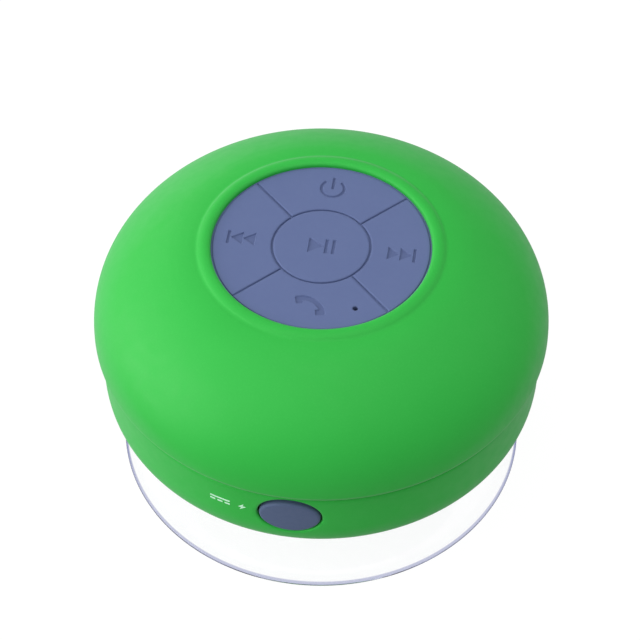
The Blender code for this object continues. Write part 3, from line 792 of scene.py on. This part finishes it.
def base_shell(finish):
    """The lower shell, with its port's pocket, its posts and its screw holes."""
    shell = turned(base_profile(), SHELL_SIDES)
    extras = [block((-8.0, -39.9, 20.6), (8.0, -37.9, 30.4), 0.2)]
    extras += [rod((x, -30.5), 1.6, 19.6, 22.3) for x in (-7.0, 7.0)]
    extras += rods(SHELL_SCREWS, POST_RADIUS, 19.6, 21.1)
    extras += rods(GRILLE_SCREWS, 1.9, 18.6, 22.6)
    shell = welded(shell, joined(extras))

    window = block((-4.1, -40, PORT_Z - 1.8), (4.1, -36, PORT_Z + 1.8), 0.25)
    left, right = TETHER_STRAP_X
    slot = block((left - FINE, -40, PORT_Z - 1.3), (right + FINE, -36, PORT_Z + 1.3))
    shell = cut(shell, pocket_cutter())
    shell = cut(shell, window, slot)
    shell = cut(shell, *rods(SHELL_SCREWS, 1.5, 15, 25), *rods(GRILLE_SCREWS, 0.95, 18, 22))
    shell = cut(shell, *rods(SHELL_SCREWS, 2.6, 15, 18.2, 32))
    piece("base_shell", shell, finish, "housing", ["lower_shell"])


# ---- the grille
def ray_slot(reach, width, turn, low, high):
    """An upright prism with round ends, along a ray at the given angle."""
    half = width / 2
    straight = (reach[1] - reach[0]) / 2 - half
    middle = sum(reach) / 2
    outline = arc((middle + straight, 0), (half, half), -90, 90, 10)
    outline += arc((middle - straight, 0), (half, half), 90, 270, 10)
    return spun(lofted([[(x, y, z) for x, y in outline] for z in (low, high)]), turn)


def grille_plate(finish):
    """The plate that closes the base: a raised hub round the cup's stem, and a ring of slots."""
    hub, bore, floor, top = GRILLE[0].z, 5.3, BASE_Z, 18.1
    face = [(bore + 0.3, hub)] + arc((8.5, hub + 0.5), (0.5, 0.5), -90, 0, 4)
    foot = arc((9.5, floor - 0.5), (0.5, 0.5), 180, 90, 4)
    edge = arc((GRILLE[1].x - 0.4, floor + 0.4), (0.4, 0.4), -90, 0, 4)
    over = [(GRILLE[1].x, top)]
    for outer, inner, height in ((21.3, 17.9, 20.2), (11.0, 7.6, 20.4)):
        over += [(outer, top), (outer, height), (inner, height), (inner, top)]
    over += [(bore, top), (bore, hub + 0.3)]
    plate = turned(face + foot + edge + over, 192)
    # The slots, and then a shallow wider mouth round each.
    for reach, width, high in (((12.2, 17.2), 2.0, 20), ((11.95, 17.45), 2.5, floor + 0.25)):
        turns = [TURN * (i + 0.5) / SLOT_COUNT for i in range(SLOT_COUNT)]
        plate = cut(plate, *[ray_slot(reach, width, turn, 15, high) for turn in turns])
    plate = cut(plate, *rods(GRILLE_SCREWS, 1.1, 15, 20), *rods(CUP_SCREWS, 0.8, 17.6, 21))
    plate = cut(plate, *rods(GRILLE_SCREWS, 2.0, 15, 17.0, 32))
    piece("grille_plate", plate, finish, "housing", ["base_grille"])


def dust_mesh(finish):
    """A perforated disc behind the slots: a ring of cells, each with a hole."""
    rings, sides = 9, 128
    inner, outer = 11.4, MESH[1].x
    bm = bmesh.new()
    rows = []
    for i in range(rings + 1):
        radius = inner + (outer - inner) * i / rings
        rows.append([bm.verts.new((*polar(radius, 360 * j / sides), MESH[0].z)) for j in range(sides)])
    cells = []
    for row, following in zip(rows, rows[1:]):
        for j in range(sides):
            k = (j + 1) % sides
            cells.append(bm.faces.new((row[j], row[k], following[k], following[j])))
    bmesh.ops.inset_individual(bm, faces=cells, thickness=0.13)
    bmesh.ops.delete(bm, geom=cells, context="FACES")
    outward(bm)
    bmesh.ops.solidify(bm, geom=bm.faces[:], thickness=MESH[1].z - MESH[0].z)
    for vert in bm.verts:
        vert.co.z = min(max(vert.co.z, MESH[0].z), MESH[1].z)
    piece("dust_mesh", bm, finish, "housing", ["grille_mesh"])


# ---- screws
def circle(radius, height, sides):
    """A level loop of points round the Z axis."""
    turns = [TURN * j / sides for j in range(sides)]
    return [(radius * math.cos(turn), radius * math.sin(turn), height) for turn in turns]


def screw_mesh(length, head_radius, head_height, shank_radius, sides=20):
    """A pan-head screw with a rolled thread. Its head faces -Z at height 0, and its tip is at length."""
    face = arc((0, head_height * 0.75), (head_radius, head_height * 0.75), -90, 0, 6)[1:]
    profile = face + [(head_radius, head_height), (shank_radius * 1.1, head_height)]
    rings = [circle(radius, z, sides) for radius, z in profile]
    pitch, rows_a_turn = shank_radius * 0.75, 4
    rows = int((length - head_height - 0.8) / pitch * rows_a_turn)
    for i in range(1, rows + 1):
        z = head_height + i * pitch / rows_a_turn
        taper = min(1.0, (length - z) / (2.2 * shank_radius))
        loop = []
        for j in range(sides):
            phase = (z / pitch - j / sides) % 1.0
            radius = shank_radius * (0.80 + 0.20 * abs(2 * phase - 1)) * taper
            loop.append((radius * math.cos(TURN * j / sides), radius * math.sin(TURN * j / sides), z))
        rings.append(loop)
    bm = lofted(rings + [circle(0.12, length, sides)])
    # A cross socket.
    arm, width, depth = head_radius * 0.55, head_radius * 0.17, head_height * 0.75
    arms = []
    for turned_arm in (False, True):
        loops = []
        for z, share in ((-1.0, 1.0), (0.0, 1.0), (depth, 0.45)):
            x, y = arm * share, width * (0.4 + 0.6 * share)
            if turned_arm:
                x, y = y, x
            loops.append([(-x, -y, z), (x, -y, z), (x, y, z), (-x, y, z)])
        arms.append(lofted(loops))
    return cut(bm, combined(arms[0], arms[1], "UNION"))


def screws(finish):
    """Every screw, in place of its plain CAD solid. The cup's own screws point down."""
    kinds = ((SHELL_SCREWS, 1.4, 1.15), (GRILLE_SCREWS, 0.75, 0.75),
             (BOARD_SCREWS, 1.3, 0.95), (CUP_SCREWS, 0.65, 0.6))
    for nodes, head_height, shank_radius in kinds:
        for i, node in enumerate(nodes):
            low, high = box_mm(node)
            bm = screw_mesh(high.z - low.z, (high.x - low.x) / 2, head_height, shank_radius)
            spun(bm, 0.7 + 1.9 * i)
            middle = (low + high) / 2
            head_z = low.z
            if nodes == CUP_SCREWS:
                spun(bm, math.pi, "X")
                head_z = high.z
            moved(bm, (middle.x, middle.y, head_z))
            piece(node.replace("screw", "fastener"), bm, finish, "housing", [node])


# ---- the cup
def cup(finish):
    """The clear suction cup, on no body, with its place baked into its mesh."""
    inner = smooth_line([(0, 7.9), (6, 7.75), (13, 6.95), (20, 5.5), (28, 3.2), (34, 0.95), (36.2, 0)], 6)
    rim = [(38.3, 0)] + arc((CUP_RADIUS - 0.5, 0.55), (0.5, 0.5), -80, 90, 8)
    outer = smooth_line([(CUP_RADIUS - 0.55, 1.05), (37.3, 1.35), (35.5, 2.2), (28, 5.1), (19, 8.1),
                         (11, 10.7), (8.0, 12.3), (7.2, 14.3)], 5)
    flange_z, flange = CUP_TOP_Z - 1.8, 7.2
    stem = [(5.4, 14.3), (5.0, 14.7), (5.0, flange_z), (flange - 0.2, flange_z), (flange, flange_z + 0.2),
            (flange, CUP_TOP_Z - 0.2), (flange - 0.2, CUP_TOP_Z), (0, CUP_TOP_Z)]
    obj = piece("clear_cup", turned(inner + rim + outer[1:] + stem, 192), finish,
                replaces=["suction_cup"], sharp=50)
    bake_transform(obj)
    obj.visible_shadow = False


# ---- symbols on the keys
def box_distance(x, y, centre, half):
    """Distance from a rectangle's edge, negative inside it."""
    dx, dy = abs(x - centre[0]) - half[0], abs(y - centre[1]) - half[1]
    return math.hypot(max(dx, 0), max(dy, 0)) + min(max(dx, dy), 0)


def wedge_distance(x, y, tip, base, half_height):
    """Distance from the edge of a triangle that points along X, negative inside it."""
    length = abs(base - tip)
    along = (x - tip) if base > tip else (tip - x)
    slope = math.hypot(length, half_height)
    side = (abs(y) * length - along * half_height) / slope
    return max(side, along - length)


def ring_distance(x, y, centre, radius, half_width, gap_degrees):
    """Distance from a ring with a gap at its top, whose ends are round."""
    dx, dy = x - centre[0], y - centre[1]
    away = abs(math.degrees(math.atan2(dx, dy)))
    if away < gap_degrees:
        turn = math.radians(gap_degrees)
        end = radius * math.sin(turn), radius * math.cos(turn)
        return math.hypot(abs(dx) - end[0], dy - end[1]) - half_width
    return abs(math.hypot(dx, dy) - radius) - half_width


def bent_box_distance(x, y, centre, radii, degrees):
    """Distance from a bar that is bent round centre, between two radii and two angles."""
    corner = 0.3
    dx, dy = x - centre[0], y - centre[1]
    radius = math.hypot(dx, dy)
    angle = math.degrees(math.atan2(dy, dx))
    half = ((radii[1] - radii[0]) / 2 - corner,
            math.radians(degrees[1] - degrees[0]) / 2 * sum(radii) / 2 - corner)
    along = math.radians(angle - sum(degrees) / 2) * radius
    return box_distance(radius, along, (sum(radii) / 2, 0), half) - corner


def play_symbol(x, y):
    triangle = wedge_distance(x, y, 0.55, -2.35, 1.75)
    bars = [box_distance(x, y, (place, 0), (0.27, 1.7)) for place in (0.95, 2.3)]
    return min(triangle, *bars)


def skip_symbol(x, y):
    """Two triangles and a bar, for next. Previous is the same, mirrored."""
    first = wedge_distance(x, y, 14.5, 12.3, 1.5)
    second = wedge_distance(x, y, 16.75, 14.6, 1.5)
    bar = box_distance(x, y, (17.25, 0), (0.24, 1.6))
    return min(first, second, bar)


def power_symbol(x, y):
    ring = ring_distance(x, y, (0.1, 14.75), 2.15, 0.23, 45)
    bar = box_distance(x, y, (0.1, 16.1), (0.02, 1.25)) - 0.22
    return min(ring, bar)


def call_symbol(x, y):
    """A telephone handset."""
    centre = (-1.2, -16.6)
    grip = bent_box_distance(x, y, centre, (3.1, 4.15), (6, 112))
    ends = [bent_box_distance(x, y, centre, (2.45, 4.15), span) for span in ((0, 22), (96, 118))]
    return min(grip, *ends)


KEYS = {                  # the key's direction in degrees, none for the middle one, and its symbol
    "play": (None, play_symbol),
    "next": (0, skip_symbol),
    "power": (90, power_symbol),
    "previous": (180, lambda x, y: skip_symbol(-x, y)),
    "call": (270, call_symbol),
}


# ---- the keypad
def graded(low, high):
    """Numbers from low to high, a grid step apart, and closer near both ends."""
    edge = [KEY_FILLET * share for share in (0, 0.1, 0.25, 0.45, 0.7, 1.0)]
    count = max(1, round((high - low - 2 * KEY_FILLET) / GRID_STEP))
    inside = [low + KEY_FILLET + (high - low - 2 * KEY_FILLET) * i / count for i in range(1, count)]
    return [low + e for e in edge] + inside + [high - e for e in edge[::-1]]


def round_key_grid():
    """(x, y) points that cover the centre key, in rows that bend to its rim."""
    radius = CENTRE_KEY_RADIUS
    spread = [value / radius for value in graded(-radius, radius)]
    return [[(radius * u * math.sqrt(1 - v * v / 2), radius * v * math.sqrt(1 - u * u / 2))
             for u in spread] for v in spread]


def sector_key_grid(turn):
    """(x, y) points that cover an outer key, in arcs between its two straight sides."""
    rows = []
    inner, outer = CENTRE_KEY_RADIUS + GROOVE, KEY_RADIUS
    middle = (inner + outer) / 2
    length = middle * math.pi / 2 - GROOVE
    shares = [value / length * 2 for value in graded(-length / 2, length / 2)]
    for radius in graded(inner, outer):
        half = math.pi / 4 - math.asin(GROOVE / 2 / radius)
        rows.append([polar(radius, turn + math.degrees(half * share)) for share in shares])
    return rows


def edge_distance(x, y, turn):
    """How far a point on a key is from the key's edge."""
    radius = math.hypot(x, y)
    if turn is None:
        return CENTRE_KEY_RADIUS - radius
    spin = math.radians(-turn)
    along, across = x * math.cos(spin) - y * math.sin(spin), x * math.sin(spin) + y * math.cos(spin)
    side = (along - abs(across)) / math.sqrt(2) - GROOVE / 2
    return min(radius - CENTRE_KEY_RADIUS - GROOVE, KEY_RADIUS - radius, side)


def key_height(x, y, turn, symbol):
    """Height of the key's top: a slight crown, a rounded edge and the engraved symbol."""
    crown = KEY_TOP_Z - 0.02 + KEY_CROWN * (1 - (x * x + y * y) / KEY_RADIUS**2)
    depth = min(max(edge_distance(x, y, turn), 0.0), KEY_FILLET)
    edge = KEY_FILLET - math.sqrt(KEY_FILLET**2 - (KEY_FILLET - depth)**2)
    share = min(max(0.5 - symbol(x, y) / ENGRAVE_WALL, 0.0), 1.0)
    return crown - edge - ENGRAVE * share * share * (3 - 2 * share)


def key_mesh(grid, turn, symbol):
    """A closed key whose top is a height field over grid, finer where the symbol's walls are."""
    bm = bmesh.new()
    rows = [[bm.verts.new((x, y, 0)) for x, y in row] for row in grid]
    for row, following in zip(rows, rows[1:]):
        for a, b, c, d in zip(row, row[1:], following[1:], following):
            bm.faces.new((a, b, c, d))
    bmesh.ops.remove_doubles(bm, verts=bm.verts, dist=WELD)
    for reach in (0.32, 0.18):
        near = [e for e in bm.edges if min(abs(symbol(v.co.x, v.co.y)) for v in e.verts) < reach]
        bmesh.ops.subdivide_edges(bm, edges=near, cuts=1, use_grid_fill=True)
    for vert in bm.verts:
        vert.co.z = key_height(vert.co.x, vert.co.y, turn, symbol)
    rim = [e for e in bm.edges if e.is_boundary]
    made = bmesh.ops.extrude_edge_only(bm, edges=rim)["geom"]
    for vert in made:
        if isinstance(vert, bmesh.types.BMVert):
            vert.co.z = KEY_UNDER_Z
    bmesh.ops.edgeloop_fill(bm, edges=[e for e in made if isinstance(e, bmesh.types.BMEdge)])
    return outward(bm)


def keys(finish):
    """The five keys, each with a pip below that meets its plunger. The call key has the mic's hole."""
    for name, (turn, symbol) in KEYS.items():
        grid = round_key_grid() if turn is None else sector_key_grid(turn)
        bm = key_mesh(grid, turn, symbol)
        place = middle_mm(f"{name}_plunger")
        bm = welded(bm, rod(place, 1.5, KEY_UNDER_PIP_Z, KEY_UNDER_Z + 0.6))
        if name == "call":
            brink, above = KEY_TOP_Z - 0.1, KEY_TOP_Z + 0.3
            mouth = turned([(0, 49), (0.5, 49), (0.5, brink), (0.9, above), (0, above)], 32)
            bm = cut(bm, moved(mouth, (MIC_PLACE.x, MIC_PLACE.y, 0)))
        piece(f"{name}_cap", bm, finish, f"{name}_button", [f"{name}_key"])


def key_mat(finish):
    """The mat under the keys, with thin ridges that stand in the grooves between them."""
    low, high = WEB[0].z, WEB[0].z + 1.0
    radius = WEB[1].x
    mat = turned([(0, low), (radius - 0.2, low), (radius, low + 0.2), (radius, high), (0, high)], 128)
    middle = CENTRE_KEY_RADIUS + GROOVE / 2
    half = GROOVE / 2 - 0.02
    foot = high - 0.3         # inside the mat, so that the ridges weld to it

    def ridge_ring(radius, half_width, top):
        inner, outer = radius - half_width, radius + half_width
        return turned([(inner, foot), (outer, foot), (outer, top), (inner, top)], 128)

    rings = [ridge_ring(middle, half, RIDGE_TOP_Z),
             ridge_ring(KEY_RADIUS + 0.14, 0.11, RIDGE_TOP_Z + 0.1)]
    ridges = []
    for i in range(4):
        ridge = block((middle, -half, foot), (KEY_RADIUS - 0.1, half, RIDGE_TOP_Z))
        ridges.append(spun(ridge, TURN * (i + 0.5) / 4))
    mat = welded(mat, *rings, joined(ridges))
    holes = [rod(middle_mm(f"{name}_plunger"), 2.0, 49, 51.5) for name in KEYS]
    mat = cut(mat, *holes, rod(MIC_PLACE, 1.0, 49, 52))
    piece("key_mat", mat, finish, "housing", ["keypad_web"])


# ---- the port
def plug(finish):
    """The oval plug. Its face is curved like the band, with a rounded rim."""
    half_width, half_height = PLUG[1].x, (PLUG[1].z - PLUG[0].z) / 2
    face_radius, back_y = -PLUG[0].y, PLUG[1].y

    def loop(inset, depth):
        half = half_height - inset
        return port_loop(half_width - inset, half, half, depth, lambda z: face_radius)

    back = [(x, back_y, z) for x, _, z in loop(0.25, 0)]
    loops = [back, [(x, back_y - 0.25, z) for x, _, z in loop(0, 0)]]
    for degrees in (0, 18, 36, 54, 72, 90):
        loops.append(loop(*fillet_step(PLUG_FILLET, degrees)))
    for inset in (0.8, 1.2, 1.7, 2.3, 3.0, 3.7):
        loops.append(loop(inset, 0.0))
    piece("plug_cap", lofted(loops), finish, "plug", ["port_plug"])


def tether(finish):
    """The strap that runs through its slot to a barbed head."""
    left, right = TETHER_STRAP_X
    end = TETHER[1].y
    strap = block((left, TETHER[0].y, PORT_Z - 1.0), (right, end - 0.5, PORT_Z + 1.0), 0.12)

    def face(left, right, y, down, up):
        low, high = PORT_Z - down, PORT_Z + up
        return [(left, y, low), (right, y, low), (right, y, high), (left, y, high)]

    head = lofted([face(-6.7, -4.3, end - 1.0, 1.3, 2.0), face(-6.3, -4.6, end, 1.0, 1.6)])
    piece("tether_strap", welded(strap, head), finish, "tether", ["plug_tether"])


def socket_outline(shrink):
    """A micro-USB mouth seen from the front: flat above, with its lower corners cut."""
    side, high, low = SOCKET[1].x - shrink, SOCKET[1].z - shrink, SOCKET[0].z + shrink
    foot, corner = side - 0.9, low + 1.0
    return [(-side, high), (side, high), (side, corner), (foot, low), (-foot, low), (-side, corner)]


def usb_socket(steel, black, gold):
    """The socket's folded shell, its tongue, and five contacts."""
    front, back = SOCKET[0].y, SOCKET[1].y

    def prism(shrink, ends):
        return lofted([[(x, y, z) for x, z in socket_outline(shrink)] for y in ends])

    shell = cut(rounded(prism(0.0, (front, back)), 0.12), prism(0.3, (front - 1, back - 0.8)))
    piece("socket_shell", shell, steel, "housing", ["usb_socket"])
    tongue = block((-2.0, front + 0.5, PORT_Z + 0.1), (2.0, back - 0.6, PORT_Z + 0.65), 0.08)
    piece("socket_tongue", tongue, black, "housing")
    contacts = [block((x - 0.17, front + 0.7, PORT_Z), (x + 0.17, back - 1.0, PORT_Z + 0.14), 0.03)
                for x in (-1.3, -0.65, 0, 0.65, 1.3)]
    piece("socket_contacts", joined(contacts), gold, "housing")


def wrapped(outline, turn, height, low, high):
    """A thin print on the band: outline in millimetres along and up, wrapped round the axis."""
    loops = []
    for radius in (low, high):
        loops.append([(*polar(radius, turn + math.degrees(s / BAND_RADIUS)), height + h) for s, h in outline])
    return lofted(loops)


def port_print(finish):
    """A generic direct-current sign beside the port: a bar over three dashes, and a small bolt."""
    turn, height = -105.8, 25.8
    low, high = BAND_RADIUS - 0.02, BAND_RADIUS + 0.02
    dash, gap = 1.05, 0.42
    starts = [-3.75 + (dash + gap) * i for i in range(3)]
    marks = [(starts[0], starts[-1] + dash, 0.22, 0.60)]
    marks += [(start, start + dash, -0.60, -0.22) for start in starts]
    shapes = []
    for start, stop, bottom, top in marks:
        line = [start + (stop - start) * i / 6 for i in range(7)]
        outline = [(s, bottom) for s in line] + [(s, top) for s in line[::-1]]
        shapes.append(wrapped(outline, turn, height, low, high))
    bolt = [(3.0, 0.85), (1.85, -0.15), (2.5, -0.15), (2.2, -0.85), (3.45, 0.2), (2.75, 0.2)]
    shapes.append(wrapped(bolt, turn, height, low, high))
    piece("port_print", joined(shapes), finish, "housing")


# ---- the loudspeaker's springy rings
def springy_ring(name, profile, finish, node):
    """A ring that joins the cone to the frame, in sectors that are each a piece of their own."""
    span = 360 / RING_SECTORS
    for i in range(RING_SECTORS):
        first, last = span * i + RING_SPLIT, span * (i + 1) - RING_SPLIT
        turns = [first + (last - first) * k / 6 for k in range(7)]
        bm = lofted([[(*polar(radius, turn), z) for radius, z in profile] for turn in turns])
        obj = piece(f"{name}_{i + 1}", bm, finish, replaces=[node])
        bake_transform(obj)


def suspension(rubber, cloth):
    """The half-roll surround and the corrugated spider."""
    low, high = SURROUND[0].z, SURROUND[1].z
    flange_z = low + 0.25
    roll = arc((17.3, flange_z), (1.25, high - flange_z), 180, 0, 14)
    under = arc((17.3, low), (0.95, 1.05), 0, 180, 14)
    inner, outer = 15.3, SURROUND[1].x
    profile = [(inner, flange_z)] + roll + [(outer, flange_z), (outer, low)] + under + [(inner, low)]
    springy_ring("surround", profile, rubber, "driver_surround")

    inner, outer, waves, steps = 5.2, SPIDER[1].x, 3, 42
    middle = (SPIDER[0].z + SPIDER[1].z) / 2
    line = []
    for i in range(steps + 1):
        line.append((inner + (outer - inner) * i / steps, middle - 0.28 * math.cos(TURN * waves * i / steps)))
    profile = [(r, z - 0.12) for r, z in line] + [(r, z + 0.12) for r, z in line[::-1]]
    springy_ring("spider", profile, cloth, "driver_spider")


# ---- what the CAD keeps
def dress_cad_nodes(looks):
    """Every CAD node that still shows gets the finish of its slot."""
    for part in frame["record"]["subparts"]:
        node = frame["nodes"][part["node"]]
        node.data.materials.clear()
        node.data.materials.append(looks[part["material_slot"]])


# ---- stage
def floor(finish):
    """A pale floor just under the cup. It takes no shadows and lends the object no light."""
    bm = bmesh.new()
    half_width, drop = 3000, 0.2
    bmesh.ops.create_grid(bm, x_segments=8, y_segments=8, size=half_width)
    obj = piece("floor", moved(bm, (0, 0, -drop)), finish)
    obj.visible_diffuse = False
    obj.visible_glossy = False
    obj.visible_shadow = False


def softbox(name, direction, size, power):
    """A square lamp that faces the object from direction = (azimuth from +X, elevation)."""
    azimuth, elevation = (math.radians(v) for v in direction)
    aim = Vector((0, 0, 0.03))
    away = Vector((math.cos(azimuth) * math.cos(elevation), math.sin(azimuth) * math.cos(elevation),
                   math.sin(elevation)))
    data = bpy.data.lights.new(name, "AREA")
    data.shape = "SQUARE"
    data.size = size
    data.energy = power
    lamp = bpy.data.objects.new(name, data)
    lamp.location = aim + away * LAMP_DISTANCE
    lamp.rotation_euler = away.to_track_quat("Z", "Y").to_euler()
    bpy.context.scene.collection.objects.link(lamp)


SKY_LIGHT = 0.5
LAMP_DISTANCE = 1.3
LAMPS = {                 # (azimuth from +X, elevation), size in metres, watts
    "left": ((191, 16), 1.4, 17.0),
    "front_left": ((225, 35), 1.1, 3.4),
    "back_left": ((132, 18), 1.1, 3.8),
    "right": ((20, 40), 1.1, 2.2),
    "front": ((300, 50), 0.9, 1.5),
    "top": ((262, 85), 1.1, 4.8),
}


def studio():
    """An even sky that the camera sees as white, and the lamps."""
    world = bpy.data.worlds.new("studio")
    bpy.context.scene.world = world
    world.use_nodes = True
    tree = world.node_tree
    path = tree.nodes.new("ShaderNodeLightPath")
    sight = tree.nodes.new("ShaderNodeMix")
    sight.inputs["A"].default_value = SKY_LIGHT
    sight.inputs["B"].default_value = 1
    background = tree.nodes["Background"]
    background.inputs["Color"].default_value = (1, 1, 1, 1)
    tree.links.new(path.outputs["Is Camera Ray"], sight.inputs["Factor"])
    tree.links.new(sight.outputs["Result"], background.inputs["Strength"])
    for name, (direction, size, power) in LAMPS.items():
        softbox(name, direction, size, power)
    bpy.context.scene.view_settings.view_transform = "Standard"
    bpy.context.scene.view_settings.look = "None"


def camera():
    """The photograph's viewpoint: half a metre off, above the front and a little to the right."""
    distance, azimuth, elevation, pitch, yaw = 0.5005, 8.0, 51.71, 49.26, 8.046
    drop = 0.0005             # the point that azimuth and elevation go round is this far below the wall
    data = bpy.data.cameras.new("camera")
    data.sensor_width = 36
    data.lens = 140.66
    data.clip_start = 0.01
    data.clip_end = 20
    obj = bpy.data.objects.new("camera", data)
    flat = distance * math.cos(math.radians(elevation))
    x, y = polar(flat, azimuth - 90)
    obj.location = (x, y, distance * math.sin(math.radians(elevation)) - drop)
    obj.rotation_euler = (math.radians(90 - pitch), 0, math.radians(yaw))
    bpy.context.scene.collection.objects.link(obj)
    bpy.context.scene.camera = obj


# ---- the whole
def build():
    looks = finishes()
    dress_cad_nodes(looks)
    green, slate = looks["green_shell"], looks["slate_silicone"]
    camera()
    studio()
    floor(looks["floor"])
    dome(green)
    base_shell(green)
    grille_plate(green)
    dust_mesh(looks["black_plastic"])
    screws(looks["steel"])
    cup(looks["clear_vinyl"])
    keys(looks["keys"])
    key_mat(slate)
    plug(looks["plug"])
    tether(slate)
    usb_socket(looks["steel"], looks["black_plastic"], looks["gold"])
    port_print(looks["ink"])
    suspension(looks["black_rubber"], looks["spider_cloth"])


build()
bpy.context.view_layer.update()
